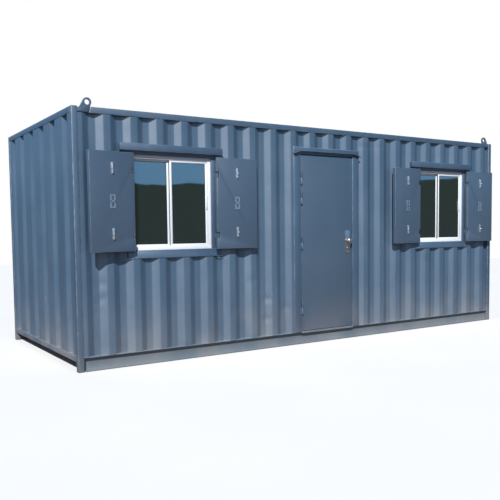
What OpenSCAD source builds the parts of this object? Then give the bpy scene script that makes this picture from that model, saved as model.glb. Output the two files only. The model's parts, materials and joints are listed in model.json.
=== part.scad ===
// Steel site cabin, 20 ft by 8 ft, with one hinged door and two shuttered windows.
//
// Cabin coordinates: x runs along the front from the left outer corner, y runs back
// from the front plane of the posts, z rises from the underside of the feet. The model
// is then moved so that its origin is the centre of its footprint, on the ground.

/* [Body] */
// Length over the corner posts
cabin_l = 6096; // [5400:1:7400]
// Width over the corner posts
cabin_w = 2438; // [2020:1:2950]
// Height from the feet to the top of the rails
cabin_h = 2520; // [2480:1:3040]
// Side of the square tube of posts and rails
tube = 60; // [56:1:72]
// Wall of the square tube
tube_wall = 4; // [3:0.5:6]

/* [Base] */
// Gap between the ground and the long bottom channels
foot_gap = 4; // [2:1:20]
// Height of the long bottom channels
channel_h = 138; // [120:1:160]
// Flange thickness of the channels
channel_flange = 8; // [5:1:10]
// Web thickness of the channels
channel_web = 6; // [4:1:8]
// Underside of the short bottom rails above the ground
end_rail_z = 95; // [60:1:110]
// Number of floor bearers
bearer_count = 13; // [8:1:16]
// Width of a floor bearer
bearer_w = 50; // [40:1:60]
// Height of a floor bearer
bearer_h = 70; // [50:1:80]
// Thickness of the floor deck
deck_t = 18; // [15:1:24]

/* [Corrugated sheet] */
// Thickness of the wall sheet, measured square to the wall
sheet_t = 2; // [1.5:0.5:3]
// Setback of the sheet's crests behind the rails
sheet_setback = 4; // [2:1:8]
// Depth of the wall corrugation
wave_depth = 36; // [24:1:40]
// Crest width of the long walls
long_crest = 72; // [50:1:90]
// Slope width of the long walls
long_slope = 68; // [40:1:80]
// Trough width of the long walls
long_trough = 70; // [50:1:90]
// Where a crest starts, from the left outer corner
long_phase = 33; // [0:1:60]
// Pitch of the troughs in the end walls
end_pitch = 397; // [330:1:420]
// Slope width of the end walls
end_slope = 50; // [30:1:70]
// Trough width of the end walls
end_trough = 68; // [40:1:90]
// Pitch of the roof ribs
roof_pitch = 209; // [160:1:260]
// Depth of the roof ribs
roof_depth = 20; // [10:1:24]

/* [Lining] */
// Thickness of the wall and ceiling boards
board_t = 12; // [9:1:18]
// Open joint between two boards
board_joint = 2; // [1:0.5:4]

/* [Lifting lugs] */
// Thickness of a lug plate
lug_t = 20; // [15:1:25]
// Width of a lug at its foot
lug_foot = 107; // [100:1:120]
// Radius of the eye's rounded head
lug_r = 42; // [40:1:52]
// Radius of the eye
eye_r = 25; // [20:1:28]
// Height of the eye above the rails
eye_rise = 42; // [38:1:60]
// Lean of the eye towards the middle of the cabin
eye_lean = 44; // [20:1:50]
// Foot of a lug above the underside of the rails
lug_seat = 12; // [10:1:24]
// Clearance between a lug and the cut end of the rail
lug_gap = 8; // [4:1:12]
// Lean of the rail's cut end, along the edge of the lug
rail_cut_lean = 17; // [10:1:30]

/* [Door] */
// Middle of the door from the left outer corner
door_mid = 3069; // [2900:1:3200]
// Width between the jambs
door_clear_w = 786; // [700:1:800]
// Width of a jamb
jamb_w = 102; // [80:1:110]
// Top of the door head above the ground
door_head_top = 2283; // [2230:1:2300]
// Height of the door head
door_head_h = 77; // [60:1:90]
// Thickness of the door leaf
leaf_t = 45; // [35:1:50]
// Clearance round the door leaf
leaf_gap = 6; // [5:0.5:8]
// Setback of the leaf behind the face of its frame
leaf_setback = 10; // [6:1:14]
// Width of the door stops
stop_w = 14; // [10:1:20]
// Height of one door hinge
door_hinge_h = 148; // [100:1:160]
// Radius of the door hinge barrels
door_barrel_r = 8; // [7:0.5:10]
// Widest angle that the door opens to
door_swing = 105; // [80:1:110]
// Projection of the rain hood over the door
hood_reach = 34; // [20:1:50]
// Straight part of the hood past each side of the opening
hood_lap = 22; // [10:1:30]
// Length of a turned-down end of the hood
hood_tail = 88; // [60:1:100]
// Drop of a turned-down end of the hood
hood_drop = 30; // [20:1:40]

/* [Windows] */
// Middles of the two window openings from the left outer corner
window_mids = [1028, 5034];
// Width of a window
window_w = 914; // [800:1:940]
// Height of a window
window_h = 944; // [900:1:960]
// Underside of a window above the ground
window_z = 1151; // [1100:1:1180]
// Width of the left jamb of a window
window_jamb_l = 36; // [30:1:50]
// Width of the right jamb of a window
window_jamb_r = 60; // [50:1:70]
// Projection of the rain bar
bar_reach = 46; // [30:1:48]
// Length of the rain bar
bar_l = 1150; // [1060:1:1160]
// Height of the rain bar
bar_h = 70; // [50:1:80]
// Underside of the rain bar above the window
bar_rise = 35; // [25:1:50]
// Projection of the sill
sill_reach = 3; // [0:1:20]
// Height of the sill
sill_h = 80; // [60:1:90]
// Fall of the sill's top towards its front
sill_fall = 10; // [4:1:14]
// Left end of the sill inside the window's left edge
sill_inset = 50; // [0:1:60]
// Right end of the sill past the window's right edge
sill_lap = 55; // [20:1:58]
// Drip flange of the sill past its left and its right end
flange_laps = [40, 76];
// Width of the aluminium window frame
alu_w = 34; // [28:1:40]
// Width of the sash stiles
sash_w = 26; // [24:1:34]
// Height of the sash rails
sash_rail = 22; // [18:1:34]
// Thickness of a pane of glass
glass_t = 5; // [4:1:6]

/* [Shutters] */
// Height of a shutter leaf
shutter_h = 960; // [900:1:970]
// Thickness of a shutter leaf
shutter_t = 44; // [36:1:48]
// Part of a leaf that lies past its hinge axis
shutter_lap = 14; // [10:1:16]
// Gap between two closed leaves
shutter_meet = 8; // [6:1:12]
// Left hinge axis inside the window's left edge
left_axis_inset = 6; // [2:1:10]
// Right hinge axis past the window's right edge
right_axis_lap = 56; // [50:1:58]
// Distance of the shutter hinge axes in front of the posts
shutter_axis_out = 30; // [28:1:34]
// Angle of each leaf off the wall, from left to right
shutter_rest = [10, 2, 4, 3];
// Radius of the shutter hinge barrels
shutter_barrel_r = 8; // [7:0.5:9]
// Height of one shutter hinge
shutter_hinge_h = 110; // [80:1:120]

/* [Hidden] */
$fn = 48;
eps = 0.01;
pin_r = 5;
pin_clear = 0.05;
knuckle_gap = 1;

inner_l = cabin_l - 2 * tube;
inner_w = cabin_w - 2 * tube;
rail_z = cabin_h - tube;
base_top = foot_gap + channel_h;
deck_z = end_rail_z + tube - deck_t - 5;
deck_top = deck_z + deck_t;
ceiling_z = rail_z - board_t;
channel_back = sheet_setback + wave_depth + channel_web;

long_pitch = long_crest + 2 * long_slope + long_trough;
end_rib = 2 * end_slope + end_trough;
end_count = floor((inner_w - end_rib) / end_pitch) + 1;
end_phase = (cabin_w - (end_count - 1) * end_pitch - end_rib) / 2;

threshold_top = base_top + 8;
door_left = door_mid - door_clear_w / 2;
door_right = door_mid + door_clear_w / 2;
frame_face = -2;
leaf_face = frame_face + leaf_setback;
leaf_back = leaf_face + leaf_t;
leaf_w = door_clear_w - 2 * leaf_gap;
leaf_z = threshold_top + leaf_gap;
head_z = door_head_top - door_head_h;
leaf_h = head_z - leaf_gap - leaf_z;
stop_y = leaf_back + leaf_gap + 1;
door_axis_x = door_left + leaf_gap / 2;
door_axis_y = frame_face - door_barrel_r;
door_hinge_zs = [352, 1112, 1631, 1861];
knob_x = door_right - 72;
knob_z = 1195;

window_top = window_z + window_h;
bar_z = window_top + bar_rise;
head_top = bar_z + bar_h;
sill_z = window_z - sill_h;
sill_top = window_z - 2;
alu_y = 18;
alu_d = 46;
outer_sash_y = alu_y + 6;
sash_d = 15;
inner_sash_y = outer_sash_y + sash_d + 5;
meeting_shift = -18;

shutter_z = window_z - 6;
shutter_axis = (window_w + right_axis_lap - left_axis_inset) / 2;
shutter_shift = (right_axis_lap + left_axis_inset) / 2;
shutter_w = shutter_axis + shutter_lap - shutter_meet / 2;
shutter_notch = shutter_barrel_r + 4;
notch_rise = shutter_hinge_h / 2 + 4;
shutter_hinge_zs = [window_z + 111, window_z + 749];
shutter_bolt_x = (shutter_w - 2 * shutter_lap) / 2;
bolt_zs = [window_z + 112, window_z + 739];
pull_z = window_z + 412;

reach = shutter_w - shutter_lap;
front_reach = max([for (a = shutter_rest)
    shutter_axis_out + reach * sin(a) + shutter_t / 2 * cos(a)]);
origin_y = (cabin_w - front_reach) / 2;

paint = "#5b7793";
door_paint = "#546a82";
alu = "#dfe3e6";
zinc = "#b9bec2";
ply = "#b99b72";

// ---- placing ---------------------------------------------------------------

// Moves cabin coordinates to the model's origin.
module placed() {
    translate([-cabin_l / 2, -origin_y, 0]) children();
}

// Repeats its children at the left end and mirrored at the right end.
module both_ends() {
    children();
    translate([cabin_l, 0, 0]) mirror([1, 0, 0]) children();
}

// Turns its children from the front to the rear.
module at_rear() {
    translate([0, cabin_w, 0]) mirror([0, 1, 0]) children();
}

// A box from its two opposite corners.
module block(low, high) {
    translate(low) cube(high - low);
}

// Extrudes an outline drawn in x and z from y to y + depth.
module wall_plate(y, depth) {
    translate([0, y + depth, 0]) rotate([90, 0, 0]) linear_extrude(depth) children();
}

// Square tube along z, open at its ends.
module tube_up(side, wall, length) {
    difference() {
        cube([side, side, length]);
        translate([wall, wall, -1]) cube([side - 2 * wall, side - 2 * wall, length + 2]);
    }
}

// ---- corrugated sheet --------------------------------------------------------

// Depth of the sheet behind its crests, at u from the start of a crest.
function wave(u, crest, slope, trough) =
    u < crest ? 0
    : u < crest + slope ? (u - crest) / slope
    : u < crest + slope + trough ? 1
    : (crest + 2 * slope + trough - u) / slope;

// Folds of a sheet between a and b, with both ends.
function folds(a, b, phase, crest, slope, trough) =
    let (pitch = crest + 2 * slope + trough,
        steps = [0, crest, crest + slope, crest + slope + trough],
        first = floor((a - phase) / pitch),
        last = ceil((b - phase) / pitch))
    concat([a], [for (k = [first:last], s = steps)
        let (x = phase + k * pitch + s) if (x > a + 1 && x < b - 1) x], [b]);

// Outline of a sheet between a and b, in plan, with its crests at y = 0.
module sheet_plan(a, b, phase, crest, slope, trough, depth, thick) {
    pitch = crest + 2 * slope + trough;
    xs = folds(a, b, phase, crest, slope, trough);
    front = [for (x = xs)
        let (u = (x - phase) - pitch * floor((x - phase) / pitch))
        [x, depth * wave(u, crest, slope, trough)]];
    back = [for (i = [len(front) - 1:-1:0]) front[i] + [0, thick]];
    polygon(concat(front, back));
}

// Part of a long wall, between x = a and b and between two heights.
module long_sheet(a, b, low, high) {
    translate([0, sheet_setback, low]) linear_extrude(high - low)
        sheet_plan(a, b, long_phase, long_crest, long_slope, long_trough, wave_depth, sheet_t);
}

// ---- frame -------------------------------------------------------------------

// Post with a closed foot, open at the top under its lug or rail.
module post() {
    difference() {
        cube([tube, tube, cabin_h]);
        translate([tube_wall, tube_wall, 8])
            cube([tube - 2 * tube_wall, tube - 2 * tube_wall, cabin_h - 8 - tube_wall]);
        translate([tube / 2, tube / 2, -1]) cylinder(h = 10, r = 6);
    }
}

module corner_posts() {
    color(paint) placed() both_ends() {
        post();
        at_rear() post();
    }
}

// Slope of the cut rail end, which follows the edge of the lug.
cut_low = tube + lug_foot + lug_gap - 3;
cut_high = cut_low + rail_cut_lean;

// Tangent point on a circle of radius r round c, seen from p, on the side s.
function tangent(p, c, r, s) =
    let (d = c - p, l = norm(d), a = acos(r / l), base = atan2(-d[1], -d[0]))
    c + r * [cos(base + s * a), sin(base + s * a)];

// Lug plate in x and z, with the foot against the post.
module lug_outline() {
    foot_z = rail_z + lug_seat;
    eye = [tube + lug_foot / 2 + eye_lean, cabin_h + eye_rise];
    left = [tube, foot_z];
    right = [tube + lug_foot, foot_z];
    union() {
        polygon([left, right, tangent(right, eye, lug_r, 1), eye, tangent(left, eye, lug_r, -1)]);
        translate(eye) circle(r = lug_r);
    }
}

// One lug, with the seat under its foot and the plate that closes the pocket behind it.
module lug() {
    seat_t = 6;
    seat_z = rail_z + lug_seat - seat_t;
    eye = [tube + lug_foot / 2 + eye_lean, cabin_h + eye_rise];
    difference() {
        union() {
            wall_plate(2, lug_t) lug_outline();
            block([tube, seat_t, seat_z], [tube + lug_foot, tube, seat_z + seat_t]);
            wall_plate(tube - 6, 6) polygon([[tube, rail_z], [cut_low, rail_z],
                [cut_high, cabin_h], [tube, cabin_h]]);
        }
        translate([eye[0], -1, eye[1]]) rotate([-90, 0, 0]) cylinder(h = lug_t + 4, r = eye_r);
    }
}

module lifting_lugs() {
    color(paint) placed() both_ends() {
        lug();
        at_rear() lug();
    }
}

// Long top rail with both ends cut to clear the lugs.
module long_top_rail() {
    difference() {
        wall_plate(0, tube) polygon([[cut_low, rail_z], [cabin_l - cut_low, rail_z],
            [cabin_l - cut_high, cabin_h], [cut_high, cabin_h]]);
        block([0, tube_wall, rail_z + tube_wall],
            [cabin_l, tube - tube_wall, cabin_h - tube_wall]);
    }
}

module front_top_rail() {
    color(paint) placed() long_top_rail();
}

module rear_top_rail() {
    color(paint) placed() at_rear() long_top_rail();
}

// Square tube between the posts of one end.
module end_rail(z) {
    translate([0, tube + inner_w, z]) rotate([90, 0, 0]) tube_up(tube, tube_wall, inner_w);
}

module end_top_rails() {
    color(paint) placed() both_ends() end_rail(rail_z);
}

module end_bottom_rails() {
    color(paint) placed() both_ends() end_rail(end_rail_z);
}

// Channel with its flanges turned outwards, between the posts.
module bottom_channel() {
    block([tube, channel_back - channel_web, foot_gap],
        [tube + inner_l, channel_back, base_top]);
    for (z = [foot_gap, base_top - channel_flange])
        block([tube, sheet_setback, z],
            [tube + inner_l, channel_back - eps, z + channel_flange]);
}

module front_bottom_channel() {
    color(paint) placed() bottom_channel();
}

module rear_bottom_channel() {
    color(paint) placed() at_rear() bottom_channel();
}

module floor_bearers() {
    step = (inner_l - bearer_w) / (bearer_count - 1);
    color(paint) placed() for (i = [1:bearer_count - 2])
        translate([tube + i * step, channel_back, deck_z - bearer_h])
            rotate([-90, 0, 0]) translate([0, -bearer_h, 0]) difference() {
                cube([bearer_w, bearer_h, cabin_w - 2 * channel_back]);
                translate([tube_wall, tube_wall, -1])
                    cube([bearer_w, bearer_h - 2 * tube_wall, cabin_w]);
            }
}

module floor_deck() {
    color(ply) placed()
        block([tube, tube, deck_z], [tube + inner_l, tube + inner_w, deck_top]);
}

// Pressed roof with ribs across the cabin.
module roof_sheet() {
    rib = roof_pitch / 4;
    top = cabin_h - 2;
    color(paint) placed() translate([0, tube, top]) rotate([-90, 0, 0])
        linear_extrude(inner_w)
            sheet_plan(tube, tube + inner_l, tube, rib, rib, rib, roof_depth, sheet_t);
}

// ---- walls -------------------------------------------------------------------

// Left and right faces of the steel surround of window i.
function surround_left(i) = window_mids[i] - window_w / 2 - window_jamb_l;
function surround_right(i) = window_mids[i] + window_w / 2 + window_jamb_r;

// Full-height parts of the front wall, as [left, right].
front_strips = [[tube, surround_left(0)],
    [surround_right(0), door_left - jamb_w],
    [door_right + jamb_w, surround_left(1)],
    [surround_right(1), cabin_l - tube]];

// Parts of the front wall above and below the openings, as [left, right, low, high].
front_infills = [for (i = [0, 1], span = [[base_top, sill_z], [head_top, rail_z]])
    [surround_left(i), surround_right(i), span[0], span[1]]];

module front_wall() {
    color(paint) placed() for (s = front_strips) long_sheet(s[0], s[1], base_top, rail_z);
}

module front_wall_infills() {
    color(paint) placed() {
        for (f = front_infills) long_sheet(f[0], f[1], f[2], f[3]);
        long_sheet(door_left - jamb_w, door_right + jamb_w, door_head_top, rail_z);
    }
}

module rear_wall() {
    color(paint) placed() at_rear() long_sheet(tube, cabin_l - tube, base_top, rail_z);
}

// End wall of the left end, with its ribs pressed inwards.
module end_wall() {
    low = end_rail_z + tube;
    translate([sheet_setback, 0, low]) mirror([1, 0, 0]) rotate([0, 0, 90])
        linear_extrude(rail_z - low)
            sheet_plan(tube, cabin_w - tube, end_phase + end_rib - end_pitch,
                end_pitch - end_rib, end_slope, end_trough, wave_depth, sheet_t);
}

module left_end_wall() {
    color(paint) placed() end_wall();
}

module right_end_wall() {
    color(paint) placed() translate([cabin_l, 0, 0]) mirror([1, 0, 0]) end_wall();
}

// ---- lining --------------------------------------------------------------------

module front_board(left, right, low, high) {
    block([left, tube, low], [right, tube + board_t, high]);
}

module front_lining() {
    j = board_joint;
    color(ply) placed() {
        front_board(tube + board_t, surround_left(0) - j, deck_top, ceiling_z);
        front_board(surround_right(0) + j, door_left - jamb_w - j, deck_top, ceiling_z);
        front_board(door_right + jamb_w + j, surround_left(1) - j, deck_top, ceiling_z);
        front_board(surround_right(1) + j, cabin_l - tube - board_t, deck_top, ceiling_z);
        for (i = [0, 1]) {
            front_board(surround_left(i), surround_right(i), deck_top, window_z);
            front_board(surround_left(i), surround_right(i), window_top, ceiling_z);
        }
        front_board(door_left - jamb_w, door_right + jamb_w, door_head_top, ceiling_z);
    }
}

module rear_lining() {
    color(ply) placed() at_rear()
        front_board(tube + board_t, cabin_l - tube - board_t, deck_top, ceiling_z);
}

module end_linings() {
    color(ply) placed() both_ends()
        block([tube, tube, deck_top], [tube + board_t, tube + inner_w, ceiling_z]);
}

module ceiling() {
    color("whitesmoke") placed()
        block([tube, tube, ceiling_z], [tube + inner_l, tube + inner_w, rail_z]);
}

// ---- door ----------------------------------------------------------------------

// Left jamb with its stop behind the leaf.
module door_jamb() {
    block([door_left - jamb_w, frame_face, base_top], [door_left, stop_y, head_z]);
    block([door_left - jamb_w, stop_y - eps, deck_top], [door_left + stop_w, tube + board_t, head_z]);
}

module door_jambs() {
    color(paint) placed() {
        door_jamb();
        translate([2 * door_mid, 0, 0]) mirror([1, 0, 0]) door_jamb();
    }
}

module door_head() {
    color(paint) placed() {
        block([door_left - jamb_w, frame_face, head_z],
            [door_right + jamb_w, tube + board_t, door_head_top]);
        block([door_left + stop_w, stop_y, head_z - stop_w],
            [door_right - stop_w, tube + board_t, head_z + eps]);
    }
}

// Aluminium threshold over the channel, with a lip down its front.
module door_threshold() {
    color(alu) placed() {
        block([door_left, frame_face, base_top], [door_right, tube, threshold_top]);
        block([door_left, frame_face, base_top - 14],
            [door_right, sheet_setback, base_top + eps]);
    }
}

// Rain hood: a straight strip with its ends turned down.
module door_hood() {
    t = 4;
    half = door_clear_w / 2 + hood_lap;
    tail = half + hood_tail;
    top = door_head_top - 44;
    low = top - hood_drop;
    color(paint) placed() wall_plate(frame_face - hood_reach, hood_reach)
        polygon([[door_mid - tail, low], [door_mid - half, top], [door_mid + half, top],
            [door_mid + tail, low], [door_mid + tail, low - t], [door_mid + half, top - t],
            [door_mid - half, top - t], [door_mid - tail, low - t]]);
}

module door_leaf() {
    color(door_paint) placed()
        block([door_left + leaf_gap, leaf_face, leaf_z],
            [door_left + leaf_gap + leaf_w, leaf_back, leaf_z + leaf_h]);
}

// Long plate with a keyhole and a round knob, turned about its stem.
module door_handle() {
    plate_w = 73;
    plate_low = -157;
    plate_high = 132;
    plate_t = 4;
    keyhole_z = -90;
    color(zinc) placed() translate([knob_x, leaf_face, knob_z]) {
        difference() {
            block([-plate_w / 2, -plate_t, plate_low], [plate_w / 2, 0, plate_high]);
            translate([0, 1, keyhole_z]) rotate([90, 0, 0]) cylinder(h = plate_t + 2, r = 9);
        }
        rotate([90, 0, 0]) rotate_extrude()
            polygon([[0, 3], [13, 3], [13, 26], [30, 32], [37, 42], [37, 52], [30, 61], [0, 64]]);
    }
}

// Fixed half of a hinge, with the pin that stands up from it.
module hinge_pin(r, h) {
    cylinder(h = h / 2 - knuckle_gap, r = r);
    cylinder(h = h - 4, r = pin_r);
}

// Adds the moving halves of hinges at the heights zs to its children, and bores both for the pins.
module knuckled(zs, r, h) {
    difference() {
        union() {
            children();
            for (z = zs) translate([0, 0, z + h / 2]) cylinder(h = h / 2, r = r);
        }
        for (z = zs) translate([0, 0, z + h / 2 - 1])
            cylinder(h = h / 2 - 2, r = pin_r + pin_clear);
    }
}

// Fixed halves of the door hinges, on the face of the left jamb.
module door_hinge_pins() {
    plate_w = 24;
    plate_t = 5;
    color(paint) placed() for (z = door_hinge_zs) translate([door_axis_x, door_axis_y, z]) {
        hinge_pin(door_barrel_r, door_hinge_h);
        block([-plate_w, door_barrel_r - plate_t, 0],
            [-leaf_gap / 2, door_barrel_r, door_hinge_h / 2 - knuckle_gap]);
    }
}

// Moving halves of the door hinges, on the face of the leaf.
module door_hinge_knuckles() {
    plate_w = 20;
    depth = leaf_face - door_axis_y;
    color(paint) placed() translate([door_axis_x, door_axis_y, 0])
        knuckled(door_hinge_zs, door_barrel_r, door_hinge_h)
            for (z = door_hinge_zs)
                block([leaf_gap / 2, 0, z + door_hinge_h / 2], [plate_w, depth, z + door_hinge_h]);
}

// ---- windows -------------------------------------------------------------------

// Repeats its children at the middle of each window.
module each_window() {
    for (x = window_mids) translate([x, 0, 0]) children();
}

module window_heads() {
    left = -window_w / 2 - window_jamb_l;
    right = window_w / 2 + window_jamb_r;
    color(paint) placed() each_window() {
        block([left, sheet_setback, window_top], [right, tube, head_top]);
        block([-bar_l / 2, -bar_reach, bar_z], [bar_l / 2, sheet_setback, head_top]);
    }
}

// Sill on its box, with a sloped top and a drip flange that runs past both its ends.
module window_sills() {
    flange_t = 6;
    left = -window_w / 2 + sill_inset;
    right = window_w / 2 + sill_lap;
    color(paint) placed() each_window() {
        block([-window_w / 2 - window_jamb_l, sheet_setback, sill_z],
            [window_w / 2 + window_jamb_r, tube, window_z]);
        block([left - flange_laps[0], -sill_reach, sill_z],
            [right + flange_laps[1], sheet_setback, sill_z + flange_t]);
        translate([left, 0, 0]) rotate([90, 0, 90]) linear_extrude(right - left)
            polygon([[sheet_setback, sill_z], [sheet_setback, sill_top],
                [-sill_reach, sill_top - sill_fall], [-sill_reach, sill_z]]);
    }
}

module window_jambs() {
    color(paint) placed() each_window() {
        block([-window_w / 2 - window_jamb_l, sheet_setback, window_z],
            [-window_w / 2, tube, window_top]);
        block([window_w / 2, sheet_setback, window_z],
            [window_w / 2 + window_jamb_r, tube, window_top]);
    }
}

module window_frame_rails() {
    color(alu) placed() each_window() for (z = [window_z, window_top - alu_w])
        block([-window_w / 2, alu_y, z], [window_w / 2, alu_y + alu_d, z + alu_w]);
}

module window_frame_stiles() {
    color(alu) placed() each_window() for (x = [-window_w / 2, window_w / 2 - alu_w])
        block([x, alu_y, window_z + alu_w], [x + alu_w, alu_y + alu_d, window_top - alu_w]);
}

// Outer and inner sash, as [left, right, front].
sashes = [[meeting_shift, window_w / 2 - alu_w, outer_sash_y],
    [-window_w / 2 + alu_w, meeting_shift + 4, inner_sash_y]];
glass_low = window_z + alu_w + sash_rail;
glass_high = window_top - alu_w - sash_rail;

module window_sashes() {
    pull_d = 14;
    color(alu) placed() each_window() {
        for (s = sashes) difference() {
            block([s[0], s[2], window_z + alu_w], [s[1], s[2] + sash_d, window_top - alu_w]);
            block([s[0] + sash_w, s[2] - 1, glass_low],
                [s[1] - sash_w, s[2] + sash_d + 1, glass_high]);
        }
        translate([sashes[0][1] - sash_w + 2, outer_sash_y - pull_d, window_z + 403])
            cube([22, pull_d + eps, 152]);
    }
}

module window_glass() {
    color("#24343a", 0.5) placed() each_window() for (s = sashes)
        block([s[0] + sash_w, s[2] + 5, glass_low],
            [s[1] - sash_w, s[2] + 5 + glass_t, glass_high]);
}

// ---- shutters --------------------------------------------------------------------

// Position of hinge axis k, counted from the left: two to a window.
function shutter_x(k) = window_mids[floor(k / 2)] + shutter_shift
    + (k % 2 == 0 ? -1 : 1) * shutter_axis;

// Puts children drawn for a right-hand leaf, flat on the wall, at leaf k.
module at_shutter(k) {
    side = k % 2 == 0 ? 1 : 0;
    translate([shutter_x(k), -shutter_axis_out, 0])
        mirror([side, 0, 0]) rotate([0, 0, -shutter_rest[k]]) children();
}

// Leaf notched for the fixed half of each hinge, and bored over it for the pin.
module shutter(k) {
    arm_t = 6;
    color(door_paint) placed() at_shutter(k)
        knuckled(shutter_hinge_zs, shutter_barrel_r, shutter_hinge_h) {
            difference() {
                block([-shutter_lap, -shutter_t / 2, shutter_z],
                    [shutter_w - shutter_lap, shutter_t / 2, shutter_z + shutter_h]);
                for (z = shutter_hinge_zs)
                    block([-shutter_lap - 1, -shutter_t, z - 4],
                        [shutter_notch, shutter_t, z + notch_rise]);
            }
            for (z = shutter_hinge_zs)
                block([0, -arm_t / 2, z + shutter_hinge_h / 2],
                    [shutter_notch + eps, arm_t / 2, z + notch_rise + 1]);
        }
}

// Fixed halves of the shutter hinges, on arms with feet on the window jambs.
module shutter_hinge_pins() {
    foot_y = shutter_axis_out + sheet_setback;
    arm_h = shutter_hinge_h / 2 - knuckle_gap;
    foot_w = 26;
    half_t = 3;
    color(paint) placed() for (k = [0:3], z = shutter_hinge_zs)
        translate([shutter_x(k), -shutter_axis_out, z]) {
            hinge_pin(shutter_barrel_r, shutter_hinge_h);
            block([-half_t, 0, 0], [half_t, foot_y, arm_h]);
            block([-foot_w, foot_y - half_t, 0], [half_t, foot_y, arm_h]);
        }
}

// Tower bolt: plate, rod and two keepers, standing on the leaf's inner face.
module tower_bolt(length) {
    plate = [28, 3, length];
    keeper = [22, 16, 14];
    rod_r = 6;
    end = 10;
    translate([-plate[0] / 2, -plate[1], 0]) cube(plate);
    translate([0, -rod_r - 2, end - 4]) cylinder(h = length - 2 * (end - 4), r = rod_r);
    for (z = [end, length - end - keeper[2] - 2])
        block([-keeper[0] / 2, -keeper[1], z], [keeper[0] / 2, -plate[1] + eps, z + keeper[2]]);
}

// Two tower bolts and a pull plate with two finger slots.
module shutter_bolts(k) {
    bolt_l = 112;
    pull = [58, 4, 132];
    slot = [30, 38];
    color(zinc) placed() at_shutter(k)
        translate([shutter_bolt_x, -shutter_t / 2, 0]) {
            for (z = bolt_zs) translate([0, 0, z]) tower_bolt(bolt_l);
            translate([0, 0, pull_z]) difference() {
                translate([-pull[0] / 2, -pull[1], 0]) cube(pull);
                for (z = [18, 76])
                    block([-slot[0] / 2, -pull[1] - 1, z], [slot[0] / 2, 1, z + slot[1]]);
            }
        }
}

module left_window_left_shutter() shutter(0);
module left_window_right_shutter() shutter(1);
module right_window_left_shutter() shutter(2);
module right_window_right_shutter() shutter(3);
module left_window_left_bolts() shutter_bolts(0);
module left_window_right_bolts() shutter_bolts(1);
module right_window_left_bolts() shutter_bolts(2);
module right_window_right_bolts() shutter_bolts(3);

// ---- nodes -----------------------------------------------------------------------

corner_posts();
lifting_lugs();
front_top_rail();
rear_top_rail();
end_top_rails();
front_bottom_channel();
rear_bottom_channel();
end_bottom_rails();
floor_bearers();
floor_deck();
roof_sheet();
front_wall();
front_wall_infills();
rear_wall();
left_end_wall();
right_end_wall();
front_lining();
rear_lining();
end_linings();
ceiling();
door_jambs();
door_head();
door_threshold();
door_hood();
door_leaf();
door_handle();
door_hinge_pins();
door_hinge_knuckles();
window_heads();
window_sills();
window_jambs();
window_frame_rails();
window_frame_stiles();
window_sashes();
window_glass();
shutter_hinge_pins();
left_window_left_shutter();
left_window_left_bolts();
left_window_right_shutter();
left_window_right_bolts();
right_window_left_shutter();
right_window_left_bolts();
right_window_right_shutter();
right_window_right_bolts();
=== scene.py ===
"""Dresses the steel site cabin: painted frame, corrugated walls, door, windows and shutters.

Lengths are in metres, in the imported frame's own coordinates: +X along the front from left
to right, -Y out of the front, +Z up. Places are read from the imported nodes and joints.
"""

import json
import logging
import math
from dataclasses import dataclass, field
from enum import Enum
from typing import Any, Callable, Iterable, Sequence

import bmesh
import bpy
from mathutils import Matrix, Vector, noise


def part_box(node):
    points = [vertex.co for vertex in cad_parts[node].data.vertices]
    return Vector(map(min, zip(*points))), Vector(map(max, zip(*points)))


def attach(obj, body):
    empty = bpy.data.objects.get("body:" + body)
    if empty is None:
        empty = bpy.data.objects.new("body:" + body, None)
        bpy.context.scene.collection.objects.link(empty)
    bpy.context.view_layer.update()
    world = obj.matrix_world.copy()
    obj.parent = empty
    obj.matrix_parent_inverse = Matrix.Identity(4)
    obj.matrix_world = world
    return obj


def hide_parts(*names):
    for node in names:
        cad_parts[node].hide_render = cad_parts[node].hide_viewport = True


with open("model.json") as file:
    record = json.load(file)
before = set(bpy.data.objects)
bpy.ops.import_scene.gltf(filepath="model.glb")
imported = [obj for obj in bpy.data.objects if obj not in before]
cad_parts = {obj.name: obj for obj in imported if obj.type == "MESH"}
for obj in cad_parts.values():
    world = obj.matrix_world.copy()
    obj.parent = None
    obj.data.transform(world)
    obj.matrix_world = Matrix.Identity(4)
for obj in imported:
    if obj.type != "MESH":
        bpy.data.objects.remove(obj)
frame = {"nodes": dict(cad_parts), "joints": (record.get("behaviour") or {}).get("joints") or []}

LOG = logging.getLogger("cabin")
Color = tuple[float, float, float]
Point2 = tuple[float, float]


class Axis(Enum):
    """The direction that an outline is drawn out along."""

    X = (1, 2, 0)
    Y = (0, 2, 1)
    Z = (0, 1, 2)


class Side(Enum):
    """Which way a shutter leaf lies from its hinge."""

    LEFT = -1
    RIGHT = 1


# ---- places ---------------------------------------------------------------------


@dataclass(frozen=True)
class Box:
    """An upright box between two corners."""

    low: Vector
    high: Vector

    @property
    def size(self) -> Vector:
        """Width, depth and height."""
        return self.high - self.low

    @property
    def centre(self) -> Vector:
        """The middle of the box."""
        return (self.low + self.high) / 2


def node_box(node: str) -> Box:
    """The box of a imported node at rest."""
    return Box(*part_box(node))


def box_of(points: Iterable[Vector]) -> Box:
    """The box around some points."""
    columns = list(zip(*points))
    return Box(Vector([min(c) for c in columns]), Vector([max(c) for c in columns]))


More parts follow.
